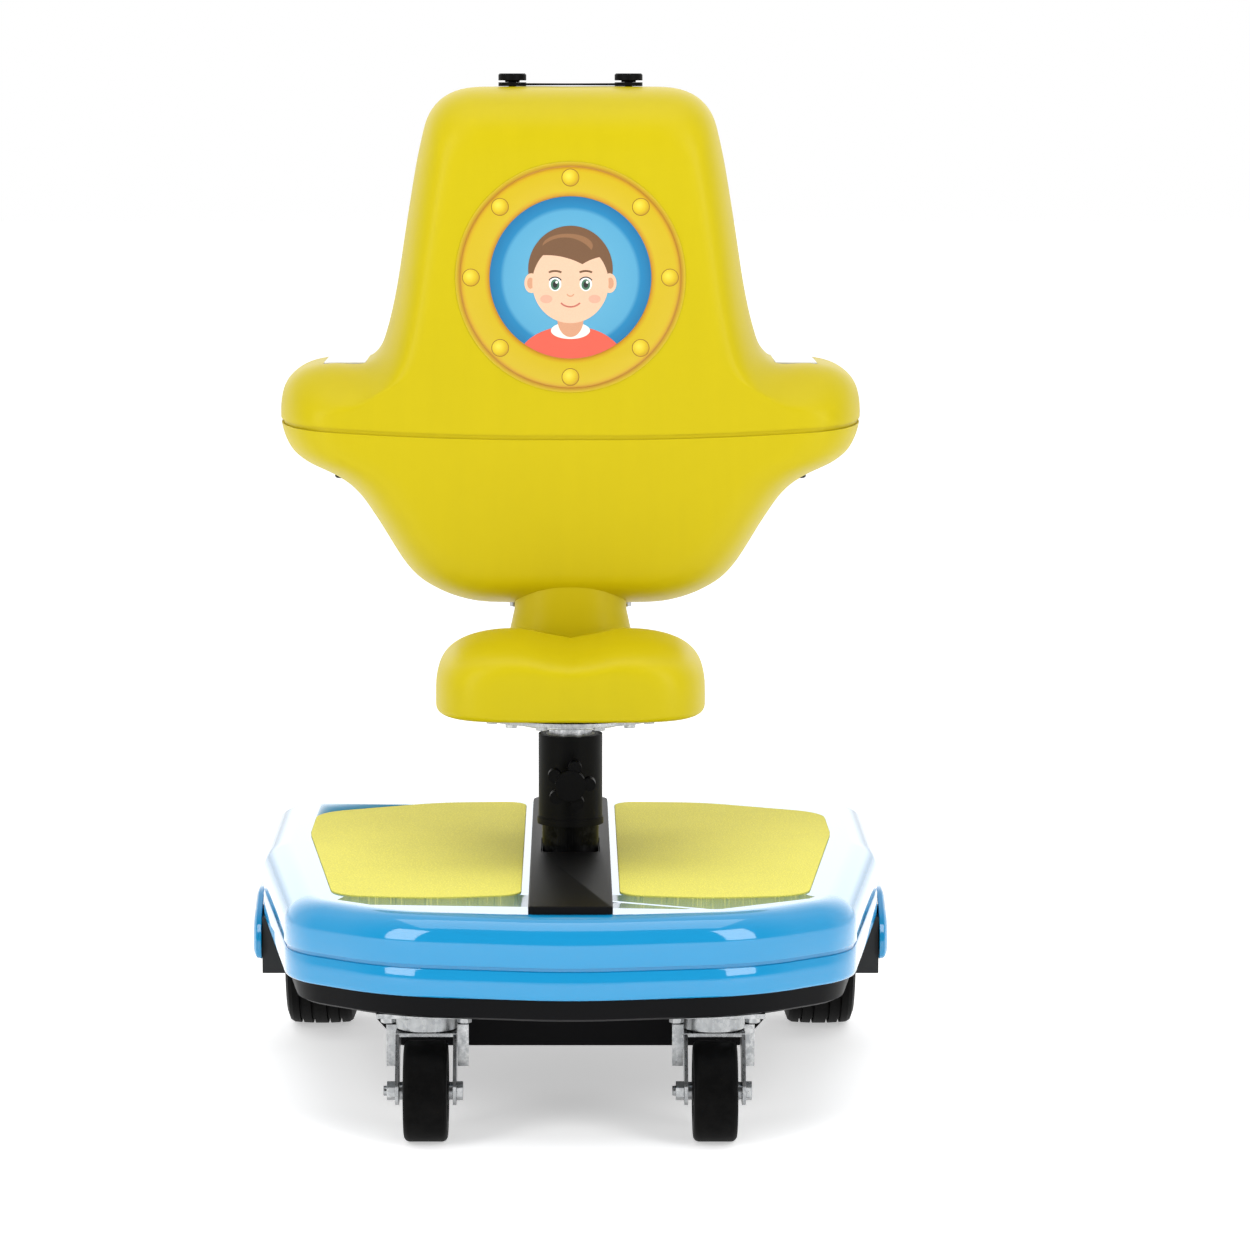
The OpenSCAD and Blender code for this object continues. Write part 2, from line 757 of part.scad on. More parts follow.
// Steel frame inside the console: post, floor plate, wing bar and top plate.
module console_frame() {
    p = post_w / 2;
    color("slategray")
        difference() {
            union() {
                difference() {
                    block(-p, p, post_y - p, post_y + p, arm_z + arm_t, hump_z - 27);
                    block(-p + post_wall, p - post_wall, post_y - p + post_wall, post_y + p - post_wall,
                          arm_z, hump_z);
                }
                block(-80, 80, post_y + p, 300, tub_z + 13, tub_z + 17);
                block(-p, p, post_y + p, wing_knob_y + 18, wing_seat_z + 25, wing_seat_z + 29);
                block(-wing_knob_x - 14, wing_knob_x + 14, wing_knob_y - 18, wing_knob_y + 18,
                      wing_seat_z + 25, wing_seat_z + 29);
                block(-top_knob_x - 20, top_knob_x + 20, post_y - p, top_knob_y + 20, hump_z - 27, hump_z - 23);
            }
            for (s = [-1, 1]) {
                translate([s * wing_knob_x, wing_knob_y, wing_seat_z]) cylinder(d = knob_stud_d + 2 * fit, h = 60);
                translate([s * top_knob_x, top_knob_y, hump_z - 60]) cylinder(d = knob_stud_d + 2 * fit, h = 60);
            }
            for (q = tub_bolt_places()) translate([q.x, q.y, tub_z]) cylinder(d = 8.2, h = 40);
        }
}

module tub_bolts() {
    color("silver")
        for (p = tub_bolt_places())
            translate([p.x, p.y, tub_z - 0.4]) mirror([0, 0, 1]) hex_bolt(13, 5, 8, 20);
}

// Thin arched plate that joins the two top knobs, with a disc under each.
module top_clamp_plate() {
    color("black")
        translate([0, top_knob_y, hump_z + 0.3])
            difference() {
                union() {
                    block(-top_knob_x, top_knob_x, -14, 14, 1, 1 + clamp_t);
                    for (s = [-1, 1]) translate([s * top_knob_x, 0, 0]) cylinder(d = knob_d, h = disc_t);
                }
                for (s = [-1, 1])
                    translate([s * top_knob_x, 0, -1]) cylinder(d = knob_stud_d + 2 * fit, h = 10);
            }
}

// Clamp knob, cap up, with its seat at the origin and its stud below.
module clamp_knob(stud_len) {
    color("black") {
        translate([0, 0, 0.1]) cylinder(d = 16, h = 2);
        translate([0, 0, 2]) cylinder(d = knob_d, h = knob_h - 1);
        translate([0, 0, 1 + knob_h]) cylinder(d = knob_d - 2, h = 1);
        translate([0, 0, -stud_len]) cylinder(d = knob_stud_d, h = stud_len + 1);
    }
}

module top_knob(side) {
    translate([side * top_knob_x, top_knob_y, hump_z + 0.3 + disc_t]) clamp_knob(34);
}

module wing_plate(side) {
    color("black")
        translate([side * wing_knob_x, wing_knob_y, wing_seat_z - wing_disc_t])
            difference() {
                union() {
                    cylinder(d = knob_d, h = wing_disc_t);
                    translate([side > 0 ? 0 : -20, -9, 0]) cube([20, 18, wing_disc_t]);
                }
                translate([0, 0, -1]) cylinder(d = knob_stud_d + 2 * fit, h = 10);
            }
}

module wing_knob(side) {
    translate([side * wing_knob_x, wing_knob_y, wing_seat_z - wing_disc_t]) mirror([0, 0, 1]) clamp_knob(36);
}

// ---------- castors ----------

castor_z = castor_d / 2;
fork_top = pan_z - 21;
plate_t = 5;
race_d = 62;
king_d = 12;
castor_axle_d = 10;
fork_in = castor_w / 2 + 5;

module at_castor(side) {
    translate([side * castor_x, -castor_y, 0]) children();
}

module at_castor_axle(side) {
    at_castor(side) translate([0, -castor_trail, castor_z]) children();
}

module castor_plate(side) {
    color("silver")
        at_castor(side)
            difference() {
                union() {
                    block(-50, 50, -36, 36, pan_z - plate_t, pan_z);
                    translate([0, 0, fork_top + 1]) cylinder(d = race_d, h = pan_z - fork_top - 2);
                }
                translate([0, 0, fork_top]) cylinder(d = king_d + 2 * fit, h = 60);
                for (x = [-38, 38]) for (y = [-26, 26]) translate([x, y, pan_z - 20]) cylinder(d = 8.4, h = 40);
            }
}

module fork_leg() {
    p = [[26, fork_top], [-30, fork_top], [-castor_trail - 19, castor_z + 8], [-castor_trail - 14, castor_z - 13],
         [-castor_trail + 14, castor_z - 13], [2, castor_z + 26], [26, fork_top - 14]];
    rotate([90, 0, 90]) linear_extrude(fork_t) polygon(rounded(p, [2, 4, 10, 10, 10, 16, 8]));
}

module castor_fork(side) {
    color("silver")
        at_castor(side)
            difference() {
                union() {
                    block(-fork_in - fork_t, fork_in + fork_t, -30, 26, fork_top - fork_t, fork_top);
                    for (s = [0, 1]) mirror([s, 0, 0]) {
                        translate([fork_in, 0, 0]) fork_leg();
                        block(fork_in + fork_t - eps, fork_in + fork_t + 11, 14, 17, castor_z + 14, fork_top);
                    }
                    translate([0, 0, fork_top - fork_t - 5]) cylinder(d = king_d, h = 25);
                    translate([0, 0, fork_top - eps]) cylinder(d = race_d - 14, h = 1);
                }
                translate([-60, -castor_trail, castor_z]) along_x(0, 120, castor_axle_d);
            }
}

module castor_axle(side) {
    outer = fork_in + fork_t;
    color("lightgray")
        at_castor_axle(side) {
            along_x(-outer - 12, outer, castor_axle_d);
            translate([outer, 0, 0]) rotate([0, 90, 0]) cylinder(d = 17 / cos(30), h = 6.4, $fn = 6);
            translate([-outer - 8.5, 0, 0]) rotate([0, 90, 0])
                difference() {
                    cylinder(d = 17 / cos(30), h = 8.5, $fn = 6);
                    translate([0, 0, -1]) cylinder(d = castor_axle_d, h = 20);
                }
            for (s = [0, 1]) mirror([s, 0, 0])
                translate([fork_in - 4.6, 0, 0]) rotate([0, 90, 0])
                    difference() {
                        cylinder(d = 18, h = 4.6);
                        translate([0, 0, -1]) cylinder(d = castor_axle_d, h = 20);
                    }
        }
}

module castor_tyre(side) {
    w = castor_w / 2;
    r = castor_d / 2;
    color("black")
        at_castor_axle(side) rotate([0, 90, 0])
            rotate_extrude($fn = 96)
                polygon(rounded([[r - 17, -w], [r, -w], [r, w], [r - 17, w]], [1, 6, 6, 1], 5));
}

module castor_hub(side) {
    w = castor_w / 2;
    r = castor_d / 2 - 17;
    color("dimgray")
        at_castor_axle(side) rotate([0, 90, 0])
            rotate_extrude($fn = 96)
                polygon([[castor_axle_d / 2 + fit, -w], [14, -w], [16, -w + 7], [r - 4, -w + 7], [r - 2, -w], [r, -w],
                         [r, w], [r - 2, w], [r - 4, w - 7], [16, w - 7], [14, w], [castor_axle_d / 2 + fit, w]]);
}

module castor_bolts() {
    color("lightgray")
        for (s = [-1, 1]) at_castor(s)
            for (x = [-38, 38]) for (y = [-26, 26])
                translate([x, y, pan_z - plate_t]) mirror([0, 0, 1]) hex_bolt(13, 5.3, 8, plate_t + pan_t + frame_h);
}

// ---------- front wheels ----------

module axle_beam() {
    end = wheel_x + 36;
    color("slategray")
        translate([0, axle_y, axle_z]) {
            along_x(-end, end, axle_d);
            for (s = [0, 1]) mirror([s, 0, 0])
                difference() {
                    union() {
                        block(150, 162, -30, 30, -16, pan_z - axle_z);
                        block(130, 182, -40, 40, pan_z - axle_z - 5, pan_z - axle_z);
                    }
                    along_x(140, 170, axle_d - eps);
                }
        }
}

// Tyre with five ribs between four grooves round its tread.
module front_tyre(side) {
    w = wheel_w / 2;
    r = wheel_d / 2;
    grooves = [for (x = [-21.5, -8.5, 8.5, 21.5]) each
        [[r - crown(x - 1.6), x - 1.6], [r - 5, x - 1.2], [r - 5, x + 1.2], [r - crown(x + 1.6), x + 1.6]]];
    color("black")
        translate([side * wheel_x, axle_y, axle_z]) rotate([0, 90, 0])
            rotate_extrude($fn = 96)
                polygon(concat([[66, -w + 6], [74, -w + 1], [r - 12, -w], [r - 4, -w + 3], [r - crown(w - 6), -w + 7]],
                               grooves,
                               [[r - crown(w - 6), w - 7], [r - 4, w - 3], [r - 12, w], [74, w - 1], [66, w - 6]]));
}

function crown(x) = x * x / 700;

module front_rim(side) {
    w = wheel_w / 2 - 6;
    color("gray")
        mirror([side < 0 ? 1 : 0, 0, 0]) translate([wheel_x, axle_y, axle_z]) rotate([0, 90, 0])
            rotate_extrude($fn = 96)
                polygon([[axle_d / 2 + fit, -w], [20, -w], [24, -6], [56, -6], [60, -w], [66, -w],
                         [66, w], [60, w], [56, 6], [24, 6], [20, w - 8], [axle_d / 2 + fit, w - 8]]);
}

module wheel_nuts() {
    color("silver")
        for (s = [0, 1]) mirror([s, 0, 0]) translate([wheel_x, axle_y, axle_z]) {
            difference() {
                translate([wheel_w / 2 - 13.4, 0, 0]) rotate([0, 90, 0]) cylinder(d = 34, h = 10, $fn = 6);
                along_x(0, 60, axle_d);
            }
            difference() {
                along_x(-wheel_w / 2 - 4, -wheel_w / 2 + 5.4, 34);
                along_x(-60, 0, axle_d);
            }
        }
}

base_shell();
lower_band();
skirt_pan();
underbody_box();
chassis_frame();
fender(-1);  // fender_left
fender(1);  // fender_right
wheel_liner(-1);  // wheel_liner_left
wheel_liner(1);  // wheel_liner_right
foot_pad(-1);  // foot_pad_left
foot_pad(1);  // foot_pad_right
center_rail();
column_flange();
flange_screws();
column_tube();
column_sleeve();
tube_bushes();
star_knob();
knob_stud();
seat_stem();
turntable_lower();
thrust_ring();
turntable_upper();
turntable_bolts();
support_arm();
saddle();
neck_cover();
console_lower();
console_upper();
console_frame();
tub_bolts();
tray(-1);  // tray_left
tray(1);  // tray_right
porthole_panel();
top_clamp_plate();
top_knob(-1);  // clamp_knob_top_left
top_knob(1);  // clamp_knob_top_right
wing_plate(-1);  // wing_plate_left
wing_plate(1);  // wing_plate_right
wing_knob(-1);  // clamp_knob_wing_left
wing_knob(1);  // clamp_knob_wing_right
castor_plate(-1);  // castor_plate_left
castor_plate(1);  // castor_plate_right
castor_fork(-1);  // castor_fork_left
castor_fork(1);  // castor_fork_right
castor_axle(-1);  // castor_axle_left
castor_axle(1);  // castor_axle_right
castor_tyre(-1);  // castor_tyre_left
castor_tyre(1);  // castor_tyre_right
castor_hub(-1);  // castor_hub_left
castor_hub(1);  // castor_hub_right
castor_bolts();
axle_beam();
front_tyre(-1);  // front_tyre_left
front_tyre(1);  // front_tyre_right
front_rim(-1);  // front_rim_left
front_rim(1);  // front_rim_right
wheel_nuts();
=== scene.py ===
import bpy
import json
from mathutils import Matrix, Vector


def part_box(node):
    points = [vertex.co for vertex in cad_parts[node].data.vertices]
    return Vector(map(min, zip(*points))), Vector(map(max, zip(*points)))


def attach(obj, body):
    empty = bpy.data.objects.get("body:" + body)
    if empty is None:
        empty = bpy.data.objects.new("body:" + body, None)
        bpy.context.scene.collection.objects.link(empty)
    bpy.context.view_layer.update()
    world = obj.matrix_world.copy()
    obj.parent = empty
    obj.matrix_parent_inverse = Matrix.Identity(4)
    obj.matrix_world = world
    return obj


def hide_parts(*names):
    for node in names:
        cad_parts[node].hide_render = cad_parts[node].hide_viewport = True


bl_info = {
    "name": "Wheeled Ride Seat",
    "version": (1, 0, 0),
    "blender": (4, 5, 0),
    "location": "View3D > Sidebar > Ride Seat",
    "description": "Builds the visible pieces, finishes and studio of a wheeled children's ride seat",
    "category": "Object",
}

import json
import math

import bmesh
import bpy
from mathutils import Matrix, Vector

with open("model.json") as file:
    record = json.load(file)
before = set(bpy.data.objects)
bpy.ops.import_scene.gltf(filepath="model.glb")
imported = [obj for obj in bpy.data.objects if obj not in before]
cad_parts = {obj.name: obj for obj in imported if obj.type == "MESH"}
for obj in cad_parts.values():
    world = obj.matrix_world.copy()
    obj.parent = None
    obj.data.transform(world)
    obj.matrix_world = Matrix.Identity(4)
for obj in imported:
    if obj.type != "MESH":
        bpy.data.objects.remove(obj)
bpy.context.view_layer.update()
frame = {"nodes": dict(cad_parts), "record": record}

MM = 0.001
BASE, SEAT = "base", "seat"
SIDES = {"left": -1, "right": 1}


# ---------- user settings ----------


def size(label, text, default):
    return bpy.props.FloatProperty(name=label, description=text, default=default, unit="LENGTH")


def colour(label, text, default):
    return bpy.props.FloatVectorProperty(
        name=label, description=text, default=default, subtype="COLOR", size=3, min=0, max=1
    )


class RideSeatSizes(bpy.types.PropertyGroup):
    edge_round: size("Platform round", "Round between the base's side and its top", 0.03)
    shell_wall: size("Shell wall", "Wall of the console shells", 0.005)
    seam_gap: size("Seam", "Width of the seam between the console shells", 0.005)
    seam_depth: size("Seam depth", "Depth of that seam", 0.0025)
    window_r: size("Window radius", "Radius of the porthole's window", 0.087)
    bolt_circle_r: size("Bolt circle", "Radius of the porthole's circle of bolts", 0.107)
    bolt_r: size("Bolt radius", "Radius of a painted porthole bolt", 0.0095)


class RideSeatColours(bpy.types.PropertyGroup):
    yellow: colour("Yellow", "Saddle, neck and console", (0.54, 0.435, 0.001))
    blue: colour("Blue", "Base shells", (0.006, 0.26, 0.53))
    pad: colour("Pads", "Foot pads", (0.86, 0.8, 0.13))
    tray: colour("Trays", "Inlays on the console's wings", (0.64, 0.64, 0.63))
    ring: colour("Porthole ring", "Painted ring of the porthole", (0.58, 0.42, 0.001))


class RideSeatStage(bpy.types.PropertyGroup):
    camera_back: size("Camera distance", "Camera behind the column", 4.807)
    camera_z: size("Camera height", "Height of the camera", 1.049)
    pitch: bpy.props.FloatProperty(
        name="Pitch", description="Downward tilt of the camera", default=math.radians(6.784), subtype="ANGLE"
    )
    lens: bpy.props.FloatProperty(name="Lens", description="Focal length in millimetres", default=131.3)
    shift: bpy.props.FloatProperty(name="Shift", description="Sideways shift of the lens", default=0.0436)


def sizes():
    return bpy.context.scene.ride_seat_sizes


def colours():
    return bpy.context.scene.ride_seat_colours


# ---------- shared node groups ----------


def new_group(name, inputs, outputs):
    tree = bpy.data.node_groups.new(name, "ShaderNodeTree")
    for label, value in inputs.items():
        kind = "NodeSocketColor" if isinstance(value, tuple) else "NodeSocketFloat"
        tree.interface.new_socket(label, in_out="INPUT", socket_type=kind).default_value = value
    for label, kind in outputs.items():
        tree.interface.new_socket(label, in_out="OUTPUT", socket_type="NodeSocket" + kind)
    ends = tree.nodes.new("NodeGroupInput"), tree.nodes.new("NodeGroupOutput")
    return tree, ends[0].outputs, ends[1].inputs


def node(tree, kind, values=None, **props):
    made = tree.nodes.new("ShaderNode" + kind)
    for key, value in props.items():
        setattr(made, key, value)
    for key, value in (values or {}).items():
        if isinstance(value, bpy.types.NodeSocket):
            tree.links.new(value, made.inputs[key])
        else:
            made.inputs[key].default_value = value
    return made


def maths(tree, operation, a, b=0.5, clamp=False):
    return node(tree, "Math", {0: a, 1: b}, operation=operation, use_clamp=clamp).outputs[0]


def spread(tree, value, low, high, to_low=0.0, to_high=1.0):
    values = {"Value": value, "From Min": low, "From Max": high, "To Min": to_low, "To Max": to_high}
    return node(tree, "MapRange", values).outputs["Result"]


def mixed(tree, share, a, b):
    made = node(tree, "Mix", data_type="RGBA")
    for key, value in {0: share, 6: a, 7: b}.items():
        if isinstance(value, bpy.types.NodeSocket):
            tree.links.new(value, made.inputs[key])
        else:
            made.inputs[key].default_value = value if key == 0 else (*value[:3], 1)
    return made.outputs[2]


def object_coords(tree):
    return node(tree, "TexCoord").outputs["Object"]


def noise(tree, coords, scale, detail=3.0, rough=0.5, stretch=(1, 1, 1)):
    moved = node(tree, "Mapping", {"Vector": coords, "Scale": stretch}).outputs[0]
    values = {"Vector": moved, "Scale": scale, "Detail": detail, "Roughness": rough}
    return node(tree, "TexNoise", values).outputs["Fac"]


def moulded_group():
    """Colour, roughness and height of moulded plastic: a fine grain, faint flow streaks and slow mottling."""
    tree, given, out = new_group(
        "Moulded plastic",
        {"Colour": (0.8, 0.8, 0.8, 1), "Grain scale": 900.0, "Grain depth": 1.0, "Streaks": 0.3,
         "Mottle": 0.05, "Roughness": 0.4},
        {"Colour": "Color", "Roughness": "Float", "Height": "Float"},
    )
    coords = object_coords(tree)
    grain_values = {"Vector": coords, "Scale": given["Grain scale"], "Detail": 2.0}
    grain = node(tree, "TexNoise", grain_values).outputs["Fac"]
    streak = noise(tree, coords, 60.0, 3.0, 0.6, (1, 1, 0.09))
    slow = noise(tree, coords, 5.0, 2.0)
    shade = maths(tree, "MULTIPLY", maths(tree, "SUBTRACT", slow), given["Mottle"])
    contrast = maths(tree, "MULTIPLY", given["Streaks"], 0.06)
    line = maths(tree, "MULTIPLY", maths(tree, "SUBTRACT", streak), contrast)
    value = maths(tree, "ADD", maths(tree, "ADD", shade, line), 1.0)
    tinted = node(tree, "HueSaturation", {"Value": value, "Color": given["Colour"]}).outputs["Color"]
    tree.links.new(tinted, out["Colour"])
    grain_rough = maths(tree, "MULTIPLY", maths(tree, "SUBTRACT", grain), 0.12)
    rough = maths(tree, "ADD", grain_rough, given["Roughness"])
    rough = maths(tree, "ADD", rough, maths(tree, "MULTIPLY", line, 0.8), True)
    tree.links.new(rough, out["Roughness"])
    height = maths(tree, "ADD", maths(tree, "MULTIPLY", grain, given["Grain depth"]),
                   maths(tree, "MULTIPLY", streak, given["Streaks"]))
    tree.links.new(height, out["Height"])
    return tree


def worn_and_lit_edge_group():
    """Colour and roughness with lighter, rougher edges and fine scuffs. The lighter edges are partly wear and
    partly a painted highlight.
    """
    tree, given, out = new_group(
        "Edge wear and painted highlight",
        {"Colour": (0.1, 0.1, 0.1, 1), "Worn and lit edge colour": (0.4, 0.4, 0.4, 1), "Roughness": 0.4, "Amount": 0.4},
        {"Colour": "Color", "Roughness": "Float", "Mask": "Float"},
    )
    coords = object_coords(tree)
    # Convex edges found by Pointiness get the lighter edge colour: partly wear, partly a painted edge
    # highlight.
    point = node(tree, "NewGeometry").outputs["Pointiness"]
    edge = spread(tree, point, 0.52, 0.6)
    broken = spread(tree, noise(tree, coords, 160.0, 4.0, 0.6), 0.42, 0.62)
    mask = maths(tree, "MULTIPLY", maths(tree, "MULTIPLY", edge, broken), given["Amount"], True)
    scuff = spread(tree, noise(tree, coords, 45.0, 5.0, 0.7, (1, 0.3, 1)), 0.55, 0.8, 0.0, 0.06)
    shade = mixed(tree, mask, given["Colour"], given["Worn and lit edge colour"])
    tree.links.new(shade, out["Colour"])
    scuffed = maths(tree, "ADD", given["Roughness"], scuff)
    rough = maths(tree, "ADD", scuffed, maths(tree, "MULTIPLY", mask, 0.2), True)
    tree.links.new(rough, out["Roughness"])
    tree.links.new(mask, out["Mask"])
    return tree


def dust_group():
    """Mask of dust that settles towards the floor."""
    tree, given, out = new_group("Low dust", {"Height": 0.12, "Amount": 0.3}, {"Mask": "Float"})
    coords = object_coords(tree)
    z = node(tree, "SeparateXYZ", {0: coords}).outputs["Z"]
    low = spread(tree, z, 0.0, given["Height"], 1.0, 0.0)
    spots = spread(tree, noise(tree, coords, 90.0, 5.0, 0.65), 0.4, 0.7)
    dusty = maths(tree, "MULTIPLY", low, spots)
    tree.links.new(maths(tree, "MULTIPLY", dusty, given["Amount"], True), out["Mask"])
    return tree


GROUPS = {}


def use_group(tree, name, values):
    made = tree.nodes.new("ShaderNodeGroup")
    made.node_tree = GROUPS[name]
    for key, value in values.items():
        if isinstance(value, bpy.types.NodeSocket):
            tree.links.new(value, made.inputs[key])
        else:
            made.inputs[key].default_value = value
    return made.outputs


# ---------- materials ----------


def new_material(name, **plain):
    """A material with a Principled shader, and the plain values set on its own sockets."""
    material = bpy.data.materials.new(name)
    material.use_nodes = True
    tree = material.node_tree
    shader = tree.nodes["Principled BSDF"]
    for key, value in plain.items():
        shader.inputs[key.replace("_", " ")].default_value = value
    return material, tree, shader


def bump(tree, shader, height, strength, distance):
    values = {"Height": height, "Strength": strength, "Distance": distance}
    tree.links.new(node(tree, "Bump", values).outputs[0], shader.inputs["Normal"])


def moulded(name, shade, roughness, grain=900.0, depth=1.0, streaks=0.3, mottle=0.05, strength=0.12,
            distance=0.0004, **plain):
    """Moulded plastic. strength and distance belong to its bump, and plain holds the shader's own values."""
    material, tree, shader = new_material(name, **plain)
    values = {"Colour": (*shade, 1), "Grain scale": grain, "Grain depth": depth, "Streaks": streaks,
              "Mottle": mottle, "Roughness": roughness}
    made = use_group(tree, "Moulded plastic", values)
    tree.links.new(made["Colour"], shader.inputs["Base Color"])
    tree.links.new(made["Roughness"], shader.inputs["Roughness"])
    bump(tree, shader, made["Height"], strength, distance)
    return material


def coated(name, shade, worn_and_lit, roughness, amount, metallic=0.0, strength=0.08, dusty=0.0, **plain):
    """Paint, plating or rubber with lighter edges that are partly wear and partly a painted highlight, a fine
    grain and some dust near the floor.
    """
    material, tree, shader = new_material(name, Metallic=metallic, **plain)
    values = {"Colour": (*shade, 1), "Worn and lit edge colour": (*worn_and_lit, 1), "Roughness": roughness, "Amount": amount}
    # The edge colour is partly wear and partly a painted highlight along convex edges.
    made = use_group(tree, "Edge wear and painted highlight", values)
    shade_out = made["Colour"]
    if dusty:
        mask = use_group(tree, "Low dust", {"Height": 0.16, "Amount": dusty})["Mask"]
        shade_out = mixed(tree, mask, shade_out, (0.32, 0.3, 0.27))
    tree.links.new(shade_out, shader.inputs["Base Color"])
    tree.links.new(made["Roughness"], shader.inputs["Roughness"])
    bump(tree, shader, noise(tree, object_coords(tree), 700.0), strength, 0.0003)
    return material


def zinc_material():
    """Zinc plating: soft crystal patches over brushed steel."""
    material, tree, shader = new_material("Zinc plating", Metallic=1.0)
    coords = object_coords(tree)
    cells = node(tree, "TexVoronoi", {"Vector": coords, "Scale": 240.0}).outputs["Color"]
    patch = node(tree, "SeparateColor", {0: cells}).outputs[0]
    brushed = noise(tree, coords, 220.0, 4.0, 0.6, (1, 1, 0.12))
    shade = mixed(tree, spread(tree, patch, 0.0, 1.0), (0.3, 0.31, 0.32), (0.37, 0.38, 0.385))
    # The pale edge colour is partly wear and partly a painted highlight on the plating's edges.
    values = {"Colour": shade, "Worn and lit edge colour": (0.9, 0.9, 0.9, 1), "Roughness": 0.26, "Amount": 0.5}
    made = use_group(tree, "Edge wear and painted highlight", values)
    tree.links.new(made["Colour"], shader.inputs["Base Color"])
    rough = maths(tree, "ADD", made["Roughness"], spread(tree, brushed, 0.3, 0.7, -0.05, 0.1), True)
    tree.links.new(rough, shader.inputs["Roughness"])
    bump(tree, shader, brushed, 0.1, 0.0002)
    return material


def pad_material(shade):
    """Anti-slip sheet: coarse raised specks in a yellow binder."""
    material, tree, shader = new_material("Anti-slip pad", Specular_IOR_Level=0.3)
    coords = object_coords(tree)
    speck = node(tree, "TexVoronoi", {"Vector": coords, "Scale": 420.0}).outputs["Distance"]
    bead = spread(tree, speck, 0.05, 0.45, 1.0, 0.0)
    fine = noise(tree, coords, 800.0, 3.0, 0.6)
    slow = noise(tree, coords, 14.0, 4.0, 0.6)
    deep = tuple(0.8 * c for c in shade)
    pale = tuple(min(1, 1.1 * c + 0.03) for c in shade)
    tone = maths(tree, "ADD", maths(tree, "MULTIPLY", bead, 0.55), maths(tree, "MULTIPLY", fine, 0.45))
    blend = mixed(tree, spread(tree, tone, 0.15, 0.75), deep, pale)
    blend = mixed(tree, spread(tree, slow, 0.4, 0.7, 0.0, 0.18), blend, shade)
    tree.links.new(blend, shader.inputs["Base Color"])
    tree.links.new(spread(tree, fine, 0.3, 0.7, 0.62, 0.85), shader.inputs["Roughness"])
    height = maths(tree, "ADD", bead, maths(tree, "MULTIPLY", fine, 0.4))
    bump(tree, shader, height, 0.6, 0.0008)
    return material


def radial_material(name, centre, stops):
    """Printed colour that changes with the distance from centre, in the plane of the porthole.
    stops are pairs of radius in metres and colour."""
    material, tree, shader = new_material(name, Coat_Weight=0.25, Coat_Roughness=0.2)
    coords = object_coords(tree)
    moved = node(tree, "VectorMath", {0: coords, 1: centre}, operation="SUBTRACT").outputs[0]
    flat = node(tree, "VectorMath", {0: moved, 1: (1, 0, 1)}, operation="MULTIPLY").outputs[0]
    away = node(tree, "VectorMath", {0: flat}, operation="LENGTH").outputs["Value"]
    reach = stops[-1][0]
    ramp = node(tree, "ValToRGB", {0: maths(tree, "DIVIDE", away, reach)})
    stripe = ramp.color_ramp.elements
    while len(stripe) < len(stops):
        stripe.new(0.5)
    for element, (radius, shade) in zip(stripe, stops):
        element.position = radius / reach
        element.color = (*shade, 1)
    print_dots = noise(tree, coords, 1500.0, 2.0)
    value = spread(tree, print_dots, 0.3, 0.7, 0.97, 1.03)
    tinted = node(tree, "HueSaturation", {"Value": value, "Color": ramp.outputs[0]}).outputs[0]
    tree.links.new(tinted, shader.inputs["Base Color"])
    tree.links.new(spread(tree, print_dots, 0.3, 0.7, 0.31, 0.39), shader.inputs["Roughness"])
    return material


MATERIALS = {}


class RIDESEAT_OT_materials(bpy.types.Operator):
    """Make the finishes that the pieces share."""

    bl_idname = "rideseat.materials"
    bl_label = "Finishes"

    def execute(self, context):
        GROUPS["Moulded plastic"] = moulded_group()
        GROUPS["Edge wear and painted highlight"] = worn_and_lit_edge_group()
        GROUPS["Low dust"] = dust_group()
        tint = colours()
        MATERIALS.update(
            yellow_shell=moulded("Yellow plastic", tint.yellow, 0.42, 1100.0, 0.8, 0.9, 0.06, 0.22, 0.0005,
                                 Specular_IOR_Level=0.18),
            blue_shell=moulded("Blue gloss", tint.blue, 0.08, 300.0, 0.25, 0.0, 0.03, 0.02, 0.0002,
                               Specular_IOR_Level=0.3, Coat_Weight=0.8, Coat_Roughness=0.04, Coat_IOR=1.5),
            black_plastic=moulded("Black plastic", (0.0035, 0.0035, 0.004), 0.46, 1300.0, 1.0, 0.1, 0.2, 0.15,
                                  Specular_IOR_Level=0.07),
            liner_plastic=moulded("Liner plastic", (0.016, 0.0175, 0.019), 0.6, 700.0, 1.0, 0.1, 0.2, 0.2,
                                  Specular_IOR_Level=0.35),
            tray_plastic=moulded("Tray plastic", tint.tray, 0.12, 500.0, 0.2, 0.0, 0.02, 0.02,
                                 Coat_Weight=0.6, Coat_Roughness=0.05),
            bush_plastic=moulded("Bush plastic", (0.72, 0.7, 0.62), 0.4),
            # The coated finishes below get lighter edges, partly wear and partly a painted highlight.
            black_metal=coated("Black powder coat", (0.0018, 0.0018, 0.002), (0.05, 0.05, 0.05), 0.32, 0.2,
                               Specular_IOR_Level=0.05),
            frame_metal=coated("Grey powder coat", (0.02, 0.021, 0.023), (0.12, 0.12, 0.12), 0.5, 0.35,
                               dusty=0.12, Specular_IOR_Level=0.3),
            tyre_rubber=coated("Tyre rubber", (0.002, 0.002, 0.002), (0.015, 0.015, 0.015), 0.5, 0.3,
                               strength=0.2, dusty=0.01, Specular_IOR_Level=0.04),
            rim_metal=coated("Cast aluminium", (0.5, 0.51, 0.52), (0.8, 0.8, 0.8), 0.4, 0.4, 1.0),
            zinc_steel=zinc_material(),
            pad_rubber=pad_material(tint.pad),
        )
        return {"FINISHED"}


# ---------- mesh helpers ----------


